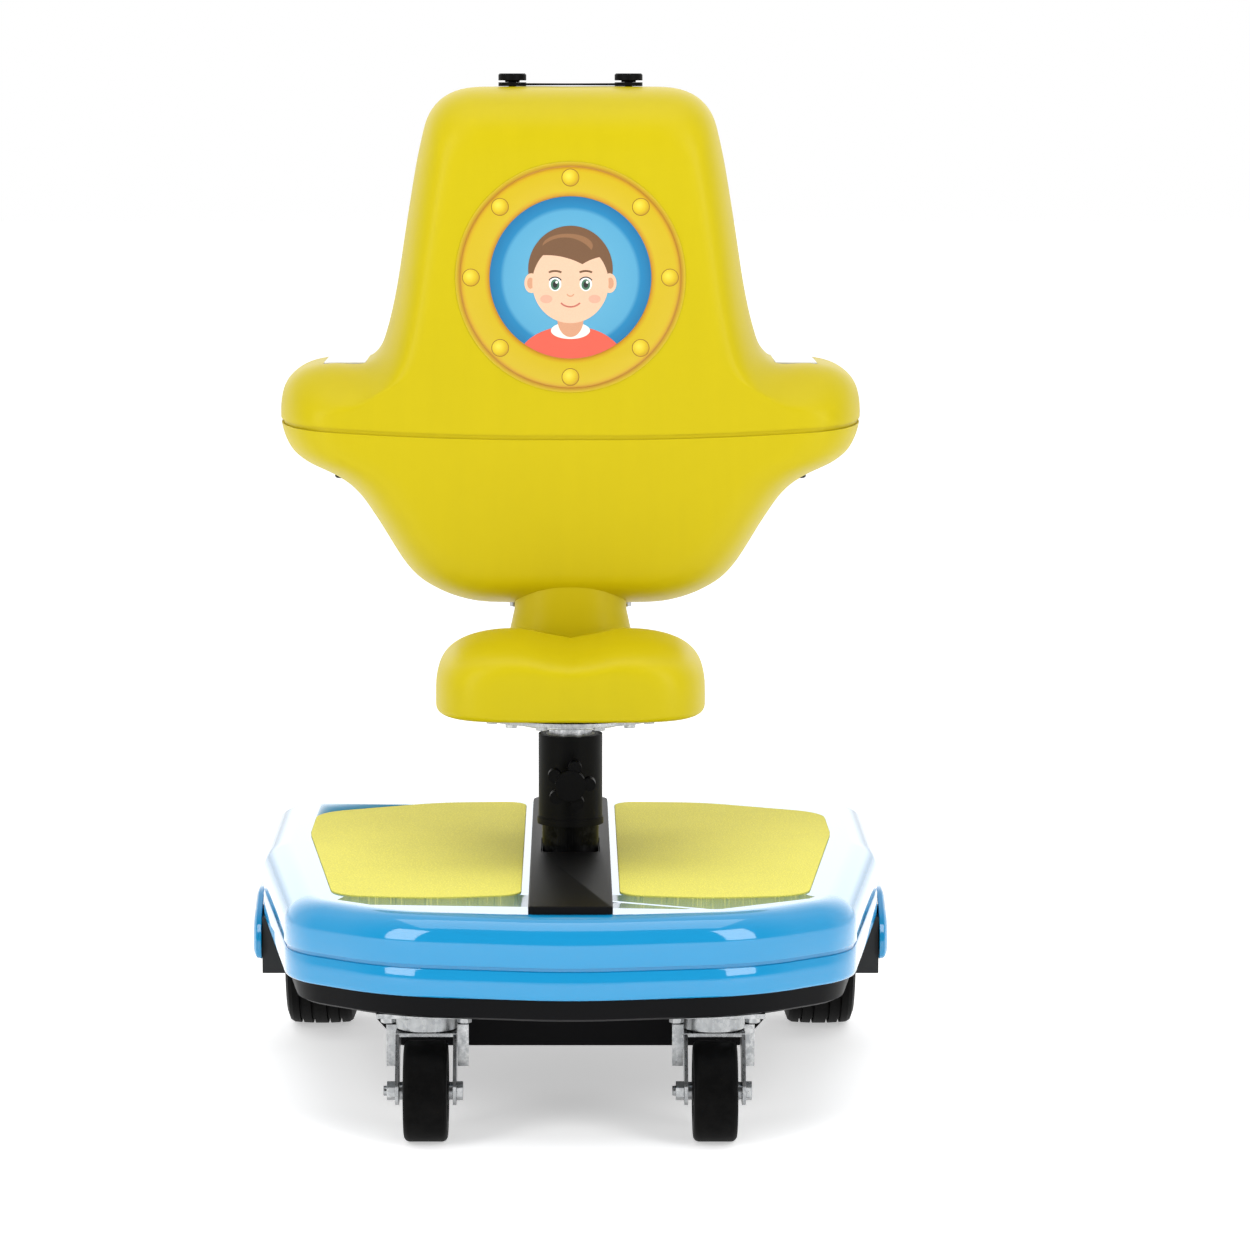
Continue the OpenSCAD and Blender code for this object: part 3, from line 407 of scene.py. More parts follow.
def finish_piece(bm, name, body, slot, material=None, replaces=(), angle=32, bevel=0.0, segments=2):
    """Turns a bmesh into a piece that rides on a body. Edges sharper than angle, in degrees, stay sharp, or
    are rounded by a bevel of that width."""
    mesh = bpy.data.meshes.new(name)
    bm.to_mesh(mesh)
    bm.free()
    piece = bpy.data.objects.new(name, mesh)
    bpy.context.scene.collection.objects.link(piece)
    mesh.materials.append(material or MATERIALS[slot])
    for face in mesh.polygons:
        face.use_smooth = True
    if bevel:
        made = piece.modifiers.new("Rounded edges", "BEVEL")
        made.width = bevel
        made.segments = segments
        made.limit_method = "ANGLE"
        made.angle_limit = math.radians(angle)
    mesh.set_sharp_from_angle(angle=math.radians(angle + 8 if bevel else angle))
    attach(piece, body)
    if replaces:
        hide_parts(*replaces)
    return piece


def node_copy(name):
    """The mesh of a CAD node, with its loose triangles merged into flat faces."""
    bm = bmesh.new()
    bm.from_mesh(frame["nodes"][name].data)
    bmesh.ops.remove_doubles(bm, verts=bm.verts, dist=0.02 * MM)
    bmesh.ops.dissolve_limit(bm, angle_limit=math.radians(1), verts=bm.verts, edges=bm.edges)
    return bm


def loop_edges(ring):
    """The edges that join the vertices of a closed ring, in order."""
    return [next(e for e in a.link_edges if e.other_vert(a) is b) for a, b in zip(ring, ring[1:] + ring[:1])]


def loft(rings, close=True):
    """A skin through rings that hold as many points each. Closed ends are filled."""
    bm = bmesh.new()
    ring = bmesh.ops.create_circle(bm, segments=len(rings[0]), radius=1.0)["verts"]
    ends = [loop_edges(ring)]
    for i, points in enumerate(rings):
        if i:
            made = bmesh.ops.extrude_edge_only(bm, edges=loop_edges(ring))["geom"]
            fresh = {item for item in made if isinstance(item, bmesh.types.BMVert)}
            beside = [[e.other_vert(old) for e in old.link_edges] for old in ring]
            ring = [next(v for v in near if v in fresh) for near in beside]
        for vert, point in zip(ring, points):
            vert.co = point
    ends.append(loop_edges(ring))
    if close:
        for end in ends:
            bmesh.ops.contextual_create(bm, geom=end)
    bmesh.ops.recalc_face_normals(bm, faces=bm.faces)
    return bm


def spun(profile, axis, centre, steps=96):
    """A closed turned shape: profile holds points of (along the axis, radius)."""
    bm = bmesh.new()
    axis = Vector(axis)
    side = axis.orthogonal().normalized()
    verts = [bm.verts.new(Vector(centre) + axis * along + side * radius) for along, radius in profile]
    edges = [bm.edges.new((a, b)) for a, b in zip(verts, verts[1:] + verts[:1])]
    bmesh.ops.spin(bm, geom=verts + edges, cent=centre, axis=axis, angle=math.tau, steps=steps,
                   use_merge=True)
    bmesh.ops.remove_doubles(bm, verts=bm.verts, dist=0.01 * MM)
    bmesh.ops.recalc_face_normals(bm, faces=bm.faces)
    return bm


def corner(a, b, c, radius, steps):
    """Points of an arc that rounds corner b of the path a-b-c."""
    u, w = (a - b).normalized(), (c - b).normalized()
    half = u.angle(w) / 2
    middle = b + (u + w).normalized() * (radius / math.sin(half))
    start = b + u * (radius / math.tan(half)) - middle
    turn = math.pi - 2 * half
    turn *= 1 if start.x * (b - middle).y - start.y * (b - middle).x > 0 else -1
    return [middle + Matrix.Rotation(turn * i / steps, 2) @ start for i in range(steps + 1)]


def inset(path, depth):
    """An anticlockwise path with every edge moved inwards."""
    moved = []
    for i, b in enumerate(path):
        a, c = path[i - 1], path[(i + 1) % len(path)]
        n1 = Vector((-(b - a).y, (b - a).x)).normalized()
        n2 = Vector((-(c - b).y, (c - b).x)).normalized()
        middle = (n1 + n2).normalized()
        moved.append(b + middle * (depth / middle.dot(n1)))
    return moved


def rounded(path, radii, steps):
    """The path with each corner rounded by its own radius."""
    count = len(path)
    return [point for i in range(count)
            for point in corner(path[i - 1], path[i], path[(i + 1) % count], radii[i], steps)]


def smooth_path(path, steps):
    """A smooth closed curve through the points."""
    count = len(path)
    made = []
    for i in range(count):
        a, b, c, d = (path[(i + k) % count] for k in (-1, 0, 1, 2))
        square, cube = 2 * a - 5 * b + 4 * c - d, 3 * b - a - 3 * c + d
        for s in range(steps):
            t = s / steps
            made.append((2 * b + (c - a) * t + square * t**2 + cube * t**3) / 2)
    return made


def swell(u, power):
    """Falls from 1 at the middle to 0 at both ends, fuller with a higher power."""
    return max(1 - abs(u) ** power, 0) ** (1 / power)


def signed_power(value, power):
    return math.copysign(abs(value) ** power, value)


# ---------- base ----------

SHELL_LOW, SHELL_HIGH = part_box("base_shell")
BAND_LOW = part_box("lower_band")[0]
BASE_W = SHELL_HIGH.x - 4 * MM
BASE_FAR, BASE_NEAR = 368 * MM, -400 * MM
# Corners of the outline's left half as (x, y, radius of the corner in millimetres)
HALF_PLAN = [
    (-BASE_W - 4 * MM, BASE_FAR, 60), (-BASE_W, 60 * MM, 260), (-BASE_W + 47 * MM, BASE_NEAR + 110 * MM, 95),
    (-BASE_W * 0.555, BASE_NEAR + 28 * MM, 200)]
WHOLE_PLAN = HALF_PLAN + [(0, BASE_NEAR - 2 * MM, 300)] + [(-x, y, r) for x, y, r in reversed(HALF_PLAN)]
WHOLE_PLAN.append((0, BASE_FAR + 9 * MM, 900))
PLAN = [Vector((x, y)) for x, y, r in WHOLE_PLAN]
PLAN_R = [r * MM for x, y, r in WHOLE_PLAN]
COLUMN_OPENING_R = 40.5 * MM
WHEEL_OPENING_R = 112 * MM


def base_ring(depth, z):
    """The base's outline at height z, moved inwards by depth."""
    radii = [max(r - depth, 4 * MM) for r in PLAN_R]
    return [(p.x, p.y, z) for p in rounded(inset(PLAN, depth), radii, 14)]


def cut(piece, cutter, operation="DIFFERENCE"):
    """Cuts a bmesh shape out of a piece for good, or keeps what lies inside the shape."""
    mesh = bpy.data.meshes.new("cutter")
    cutter.to_mesh(mesh)
    cutter.free()
    tool = bpy.data.objects.new("cutter", mesh)
    bpy.context.scene.collection.objects.link(tool)
    made = piece.modifiers.new("Cut", "BOOLEAN")
    made.operation = operation
    made.solver = "EXACT"
    made.object = tool
    apply_first(piece, "Cut")
    bpy.data.objects.remove(tool)
    bpy.data.meshes.remove(mesh)


def apply_first(piece, name):
    """Applies one modifier, as if it stood first."""
    others = [m for m in piece.modifiers if m.name != name]
    shown = [m.show_viewport for m in others]
    for m in others:
        m.show_viewport = False
    graph = bpy.context.evaluated_depsgraph_get()
    graph.update()
    made = bpy.data.meshes.new_from_object(piece.evaluated_get(graph))
    old = piece.data
    piece.modifiers.remove(piece.modifiers[name])
    piece.data = made
    bpy.data.meshes.remove(old)
    for m, was in zip(others, shown):
        m.show_viewport = was


def shade_by_angle(piece, degrees, flat_from=math.inf):
    """Smooth shading with sharp edges above an angle. Faces with flat_from or more corners are flat."""
    for face in piece.data.polygons:
        face.use_smooth = len(face.vertices) < flat_from
    piece.data.set_sharp_from_angle(angle=math.radians(degrees))


def box_shape(low, high):
    bm = bmesh.new()
    bmesh.ops.create_cube(bm, size=1.0)
    low, high = Vector(low), Vector(high)
    place = Matrix.Translation((low + high) / 2) @ Matrix.Diagonal((*(high - low), 1))
    bmesh.ops.transform(bm, matrix=place, verts=bm.verts)
    return bm


def round_bar(radius, low, high, segments=96):
    """A cylinder from one end's centre to the other's."""
    bm = bmesh.new()
    low, high = Vector(low), Vector(high)
    bmesh.ops.create_cone(bm, segments=segments, radius1=radius, radius2=radius, depth=(high - low).length,
                          cap_ends=True)
    turn = (high - low).to_track_quat("Z", "Y").to_matrix().to_4x4()
    bmesh.ops.transform(bm, matrix=Matrix.Translation((low + high) / 2) @ turn, verts=bm.verts)
    return bm


class RIDESEAT_OT_base(bpy.types.Operator):
    """Make the two blue shells of the base."""

    bl_idname = "rideseat.base"
    bl_label = "Base shells"

    def execute(self, context):
        self.upper_shell()
        self.lower_band()
        return {"FINISHED"}

    def upper_shell(self):
        round_r = sizes().edge_round
        drop = 27 * MM
        top = SHELL_HIGH.z
        wall = 5 * MM
        low = SHELL_LOW.z
        outer = [base_ring(wall, low), base_ring(0.8 * MM, low), base_ring(0, low + 1.2 * MM)]
        for i in range(17):
            a = math.radians(90 * i / 16)
            outer.append(base_ring(round_r * (1 - math.cos(a)), top - drop + drop * math.sin(a)))
        outer += [base_ring(round_r + extra * MM, top) for extra in (0.4, 1.5, 5)]
        inner = [base_ring(wall, low - 5 * MM), base_ring(wall, top - drop), base_ring(round_r, top - wall)]
        piece = finish_piece(loft(outer), "base_top_shell", BASE, "blue_shell", replaces=["base_shell"])
        cut(piece, loft(inner))
        for side in SIDES:
            cut(piece, self.pad_seat("foot_pad_" + side))
        cut(piece, round_bar(COLUMN_OPENING_R, (0, 0, top - 30 * MM), (0, 0, top + 30 * MM)))
        shade_by_angle(piece, 35, flat_from=9)

    def pad_seat(self, pad):
        """The pad's own shape, a little wider, for the seat that it lies in."""
        middle = sum(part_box(pad), Vector()) / 2
        seat = node_copy(pad)
        bmesh.ops.scale(seat, vec=(1.004, 1.003, 1), space=Matrix.Translation(-middle), verts=seat.verts)
        bmesh.ops.translate(seat, vec=(0, 0, 0.02 * MM), verts=seat.verts)
        return seat

    def lower_band(self):
        z0, z1 = BAND_LOW.z, SHELL_LOW.z
        groove = 3 * MM
        lip = z1 - 4 * MM
        wall = 6 * MM
        top = z1 - 0.05 * MM
        profile = [(wall + groove, z0), (3 * MM, z0), (1.4 * MM, z0 + 0.8 * MM), (0.4 * MM, z0 + 2.6 * MM),
                   (0, z0 + 5 * MM), (0, lip - 1.6 * MM), (0.5 * MM, lip - 0.5 * MM), (1.4 * MM, lip),
                   (groove, lip), (groove, top), (wall + groove, top), (wall + groove, z0)]
        skin = loft([base_ring(depth, z) for depth, z in profile], close=False)
        bmesh.ops.remove_doubles(skin, verts=skin.verts, dist=0.01 * MM)
        bmesh.ops.recalc_face_normals(skin, faces=skin.faces)
        piece = finish_piece(skin, "base_lower_band", BASE, "blue_shell", replaces=["lower_band"], angle=35)
        axle = sum(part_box("front_tyre_left"), Vector()) / 2
        for side in SIDES.values():
            inside, outside = (Vector((side * x, axle.y, axle.z)) for x in (0.21, 0.42))
            cut(piece, round_bar(WHEEL_OPENING_R, inside, outside))
            slot = Vector((side * 300 * MM, -204 * MM, z0 + 17 * MM))
            half = Vector((20, 2, 6)) * MM
            cut(piece, box_shape(slot - half, slot + half))
        shade_by_angle(piece, 35)


# ---------- saddle, neck and console ----------


class RIDESEAT_OT_saddle(bpy.types.Operator):
    """Make the saddle with its dip and its neck cover."""

    bl_idname = "rideseat.saddle"
    bl_label = "Saddle and neck"

    def execute(self, context):
        self.saddle()
        self.neck()
        return {"FINISHED"}

    def saddle(self):
        low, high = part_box("saddle")
        half_w, half_l = (high.x - low.x) / 2, (high.y - low.y) / 2
        middle_y, middle_z, down = (low.y + high.y) / 2, 405 * MM, 17 * MM
        up, dip = 472 * MM - middle_z, 13 * MM
        arm_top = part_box("support_arm")[1].z
        rings = []
        for i in range(61):
            a = math.radians(-90 + 3 * i)
            s = 0.55 + 0.45 * swell(math.sin(a), 3)
            rings.append([self.section(math.radians(3 * k), s, half_w, middle_z, up, down, dip,
                                       middle_y + half_l * math.sin(a)) for k in range(120)])
        piece = finish_piece(loft(rings), "saddle_shell", SEAT, "yellow_shell", replaces=["saddle"], angle=40,
                             bevel=2.5 * MM, segments=3)
        cut(piece, round_bar(99 * MM, (0, 0, 0.3), (0, 0, arm_top), segments=128))
        cut(piece, box_shape((-62 * MM, 0, 0.3), (62 * MM, 0.2, arm_top)))

    def section(self, angle, s, half_w, middle_z, up, down, dip, y):
        """A point of the saddle's cross-section at y, which is shrunk by s."""
        c, n = math.cos(angle), math.sin(angle)
        x = half_w * s * signed_power(c, 0.55 if n >= 0 else 0.4)
        hollow = dip * math.exp(-((x / MM) ** 2) / 1500)
        rise = (up * n**0.55 - hollow) * s if n >= 0 else -down * (-n) ** 0.45 * s
        return (x, y, middle_z + rise)

    def neck(self):
        """The neck's sections are (height, half width and half depth in millimetres)."""
        low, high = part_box("neck_cover")
        middle = (low.y + high.y) / 2
        shape = [(low.z, 74, 59), (430 * MM, 71, 58), (450 * MM, 67, 57), (475 * MM, 61.5, 56),
                 (high.z, 60, 55)]
        rings = []
        for (z0, w0, d0), (z1, w1, d1) in zip(shape, shape[1:]):
            for i in range(8):
                t = i / 8
                rings.append((z0 + (z1 - z0) * t, w0 + (w1 - w0) * t, d0 + (d1 - d0) * t))
        rings.append(shape[-1])
        angles = [math.radians(3 * k) for k in range(120)]
        across = [signed_power(math.cos(a), 0.7) * MM for a in angles]
        along = [signed_power(math.sin(a), 0.7) * MM for a in angles]
        points = [[(w * u, middle + d * v, z) for u, v in zip(across, along)] for z, w, d in rings]
        skin = loft(points, close=False)
        bmesh.ops.solidify(skin, geom=skin.faces, thickness=4 * MM)
        bmesh.ops.recalc_face_normals(skin, faces=skin.faces)
        finish_piece(skin, "neck_shell", SEAT, "yellow_shell", replaces=["neck_cover"], angle=40)


CONSOLE_LOW, CONSOLE_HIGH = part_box("console_lower")[0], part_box("console_upper")[1]
TUB_Z, HUMP_Z = 478 * MM, 1045 * MM
SEAM_Z, WING_Z = 668 * MM, 745 * MM
WING_W, HUMP_W, FLOOR_W = 320 * MM, 200 * MM, 110 * MM
NEAR_Y, FAR_Y = CONSOLE_LOW.y, CONSOLE_HIGH.y
HUMP_LEAN = 0.28
SEAM_CLIMB = 13 * MM
DROOP_START, DROOP_WIDTH, DROOP_DEPTH = 165 * MM, 75 * MM, 77 * MM
WING_DROOP = 0.62
END_SHARE = 0.8
# Points of the outline's right half as offsets in millimetres from corners of its plain shape
OUTLINE_STEPS = (
    (FLOOR_W, TUB_Z, ((0, 3), (40, 17), (70, 41), (104, 94), (125, 123))),
    (WING_W, SEAM_Z, ((-62, -49), (-26, -31), (-8, -12), (0, 18))),
    (WING_W, WING_Z, ((-5, -26), (-24, -7), (-54, 0))),
    (HUMP_W, WING_Z, ((30, 0), (12, 12), (2, 35), (-9, 82))),
    (HUMP_W, HUMP_Z, ((-21, -144), (-35, -66), (-49, -24), (-80, -3))),
)
HALF_OUTLINE = [(0, TUB_Z), (FLOOR_W * 0.58, TUB_Z)]
HALF_OUTLINE += [(x + dx * MM, z + dz * MM) for x, z, offsets in OUTLINE_STEPS for dx, dz in offsets]
HALF_OUTLINE += [(HUMP_W * 0.32, HUMP_Z), (0, HUMP_Z)]


def console_outline(steps):
    right = [Vector(p) for p in HALF_OUTLINE]
    left = [Vector((-p.x, p.y)) for p in right[-2:0:-1]]
    return smooth_path(right + left, steps)


def lean(y, z):
    """Place y of a point at height z: the hump's front leans back towards its crown."""
    t = min(max((z - WING_Z) / (HUMP_Z - WING_Z), 0), 1)
    return NEAR_Y + (y - NEAR_Y) * (1 - HUMP_LEAN * t * t * (3 - 2 * t))


def seam_rise(x):
    """How far the seam climbs towards the tips of the wings."""
    return SEAM_CLIMB * min(abs(x) / WING_W, 1) ** 2.2


def droop(x, y, z):
    """How far the wings' near edge droops, so that the hump flares down to it."""
    t = min(max((abs(x) - DROOP_START) / DROOP_WIDTH, 0), 1)
    near = max(1 - (y - NEAR_Y) / DROOP_DEPTH, 0)
    return max(z - SEAM_Z - 12 * MM, 0) * WING_DROOP * near * near * t * t * (3 - 2 * t)


def console_skin(depth=0.0, steps=6):
    """The closed outer surface of the console, moved inwards by depth."""
    core = SEAM_Z + 22 * MM
    middle, half = (NEAR_Y + FAR_Y) / 2, (FAR_Y - NEAR_Y) / 2 - depth
    outline = inset(console_outline(steps), depth)

    def ring(s, y):
        made = []
        for p in outline:
            x, z = p.x * s, core + (p.y - core) * s
            made.append((x, lean(y, z), z - droop(x, y, z)))
        return made

    ends = [0.3, 0.43, 0.58, 0.74, 0.88, 0.96]
    rings = [ring(END_SHARE * k, middle + half) for k in ends]
    for i in range(31):
        a = math.radians(90 - 6 * i)
        share = END_SHARE + (1 - END_SHARE) * swell(math.sin(a), 2.5)
        rings.append(ring(share, middle + half * math.sin(a)))
    rings += [ring(END_SHARE * k, middle - half) for k in reversed(ends)]
    return loft(rings)


def slice_off(bm, z, keep_above):
    """Removes what lies on one side of the level z."""
    bmesh.ops.bisect_plane(bm, geom=bm.verts[:] + bm.edges[:] + bm.faces[:], plane_co=(0, 0, z),
                           plane_no=(0, 0, 1), clear_inner=keep_above, clear_outer=not keep_above)


def seam_cut(bm, z, keep_above):
    """Cuts a skin along the seam's curve, which the cut leaves straightened, and keeps one side."""
    for vert in bm.verts:
        vert.co.z -= seam_rise(vert.co.x)
    slice_off(bm, z, keep_above)


def walled(skins, trim):
    """Joins an outer and an inner skin along their open edges into a closed wall."""
    for skin in skins:
        trim(skin)
    bmesh.ops.reverse_faces(skins[1], faces=skins[1].faces)
    mesh = bpy.data.meshes.new("skin")
    skins[1].to_mesh(mesh)
    skins[1].free()
    bm = skins[0]
    bm.from_mesh(mesh)
    bpy.data.meshes.remove(mesh)
    rims = [edge for edge in bm.edges if edge.is_boundary]
    heights = sorted({round(edge.verts[0].co.z, 4) for edge in rims})
    for height in heights:
        rim = [edge for edge in rims if abs(edge.verts[0].co.z - height) < 0.2 * MM]
        bmesh.ops.bridge_loops(bm, edges=rim)
    bmesh.ops.recalc_face_normals(bm, faces=bm.faces)
    return bm


def seam_restore(bm):
    """Bends a straightened seam back to its curve."""
    for vert in bm.verts:
        vert.co.z += seam_rise(vert.co.x)


class RIDESEAT_OT_console(bpy.types.Operator):
    """Make the console's two shells and the band in their seam."""

    bl_idname = "rideseat.console"
    bl_label = "Console"

    def execute(self, context):
        gap = sizes().seam_gap / 2
        upper = self.shell("console_top_shell", SEAM_Z + gap, True, "console_upper")
        lower = self.shell("console_tub_shell", SEAM_Z - gap, False, "console_lower")
        self.seam_band(gap)
        self.upper_cuts(upper)
        self.lower_cuts(lower)
        return {"FINISHED"}

    def shell(self, name, z, above, replaced):
        """An outer and an inner skin, cut at the seam and joined along their lips."""
        bm = walled([console_skin(), console_skin(sizes().shell_wall)], lambda skin: seam_cut(skin, z, above))
        seam_restore(bm)
        return finish_piece(bm, name, SEAT, "yellow_shell", replaces=[replaced], angle=50, bevel=1.0 * MM,
                            segments=3)

    def seam_band(self, gap):
        """A strip behind the seam, in line with the shells' inner faces."""
        reach = gap + 3 * MM

        def trim(skin):
            seam_cut(skin, SEAM_Z + reach, False)
            slice_off(skin, SEAM_Z - reach, True)

        bm = walled([console_skin(sizes().seam_depth), console_skin(sizes().shell_wall - 0.4 * MM)], trim)
        seam_restore(bm)
        finish_piece(bm, "console_seam_band", SEAT, "yellow_shell", angle=50)

    def upper_cuts(self, piece):
        for side in SIDES:
            low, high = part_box("tray_" + side)
            room = Vector((0.5, 0.5, 0)) * MM
            cut(piece, box_shape(low - room, high + room + Vector((0, 0, 50 * MM))))

    def lower_cuts(self, piece):
        for side in SIDES:
            plate_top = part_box("wing_plate_" + side)[1].z
            knob = sum(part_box("clamp_knob_wing_" + side), Vector()) / 2
            cut(piece, round_bar(22 * MM, (knob.x, knob.y, 0.5), (knob.x, knob.y, plate_top)))


# ---------- porthole ----------


class RIDESEAT_OT_porthole(bpy.types.Operator):
    """Make the porthole's panel, ring, bolts and window."""

    bl_idname = "rideseat.porthole"
    bl_label = "Porthole"

    def execute(self, context):
        low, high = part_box("porthole_panel")
        self.centre = Vector((0, high.y, (low.z + high.z) / 2))
        self.radius = (high.x - low.x) / 2
        self.panel()
        self.ring()
        self.bolts()
        self.window()
        return {"FINISHED"}

    def disc(self, name, radius, lift, thick, material, centre=(0, 0), replaces=(), soft=0.4):
        """A flat round layer in the panel's plane. lift is how far its face stands out."""
        bm = bmesh.new()
        bmesh.ops.create_cone(bm, segments=128, radius1=radius, radius2=radius, depth=thick, cap_ends=True)
        turn = Matrix.Rotation(math.radians(90), 4, "X")
        place = self.centre + Vector((centre[0], -lift + thick / 2, centre[1]))
        bmesh.ops.transform(bm, matrix=Matrix.Translation(place) @ turn, verts=bm.verts)
        return finish_piece(bm, name, SEAT, "picture_vinyl", material, replaces, bevel=soft * MM)

    def panel(self):
        halo = radial_material("Porthole halo", tuple(self.centre), [
            (0.08, (0.3, 0.1, 0.001)), (0.1175, (0.34, 0.13, 0.001)), (0.1205, (0.47, 0.26, 0.001)),
            (self.radius, (0.575, 0.44, 0.002))])
        self.disc("porthole_back", self.radius, 1.2 * MM, 1.2 * MM, halo, replaces=["porthole_panel"])

    def ring(self):
        inner, outer = sizes().window_r, self.radius - 5 * MM
        tint = tuple(colours().ring)
        deep = (0.42, 0.17, 0.001)
        paint = radial_material("Porthole ring", tuple(self.centre), [
            (inner, deep), (inner + 3 * MM, (0.56, 0.32, 0.001)), (inner + 6 * MM, tint),
            (outer - 6 * MM, tint), (outer - 3 * MM, (0.58, 0.36, 0.001)), (outer, deep)])
        back, face = -0.9 * MM, -1.9 * MM
        rim = [(back, 0), (face + 0.6 * MM, 0), (face + 0.15 * MM, 0.5 * MM), (face, 1.6 * MM)]
        profile = [(y, inner + r) for y, r in rim] + [(y, outer - r) for y, r in reversed(rim)]
        turned = spun(profile, (0, 1, 0), self.centre, 192)
        finish_piece(turned, "porthole_ring", SEAT, "picture_vinyl", paint)

    def bolts(self):
        reach, r = sizes().bolt_circle_r, sizes().bolt_r
        for i in range(8):
            a = math.tau * i / 8
            spot = (reach * math.sin(a), reach * math.cos(a))
            here = tuple(self.centre + Vector((spot[0] - 2 * MM, 0, spot[1] + 2 * MM)))
            paint = radial_material(f"Porthole bolt {i + 1}", here, [
                (1 * MM, (0.74, 0.62, 0.05)), (r * 0.7, (0.66, 0.48, 0.002)), (r * 1.2, (0.5, 0.28, 0.001)),
                (r * 1.4, (0.28, 0.11, 0.001))])
            edge = radial_material(f"Porthole bolt edge {i + 1}", here, [
                (r, (0.26, 0.1, 0.001)), (r * 1.4, (0.32, 0.14, 0.001))])
            self.disc(f"porthole_bolt_edge_{i + 1}", r, 2.0 * MM, 0.6 * MM, edge, spot, soft=0.05)
            self.disc(f"porthole_bolt_{i + 1}", r - 0.7 * MM, 2.4 * MM, 0.8 * MM, paint, spot, soft=0.3)

    def window(self):
        r = sizes().window_r
        pane = radial_material("Porthole window", tuple(self.centre), [
            (0.0, (0.13, 0.42, 0.6)), (r * 0.82, (0.08, 0.34, 0.54)), (r * 0.87, (0.004, 0.2, 0.42)),
            (r, (0.001, 0.15, 0.34))])
        self.disc("porthole_window", r + 0.5 * MM, 1.3 * MM, 0.5 * MM, pane, soft=0.02)


PAINTS = {
    "skin": (0.8, 0.5, 0.34), "skin shade": (0.62, 0.31, 0.18), "cheek": (0.82, 0.38, 0.27),
    "hair": (0.16, 0.075, 0.03), "hair light": (0.27, 0.13, 0.055), "shirt": (0.7, 0.1, 0.06),
    "collar": (0.85, 0.82, 0.74), "white": (0.88, 0.88, 0.86), "iris": (0.05, 0.16, 0.09),
    "dark": (0.012, 0.01, 0.01), "lip": (0.5, 0.14, 0.1),
}


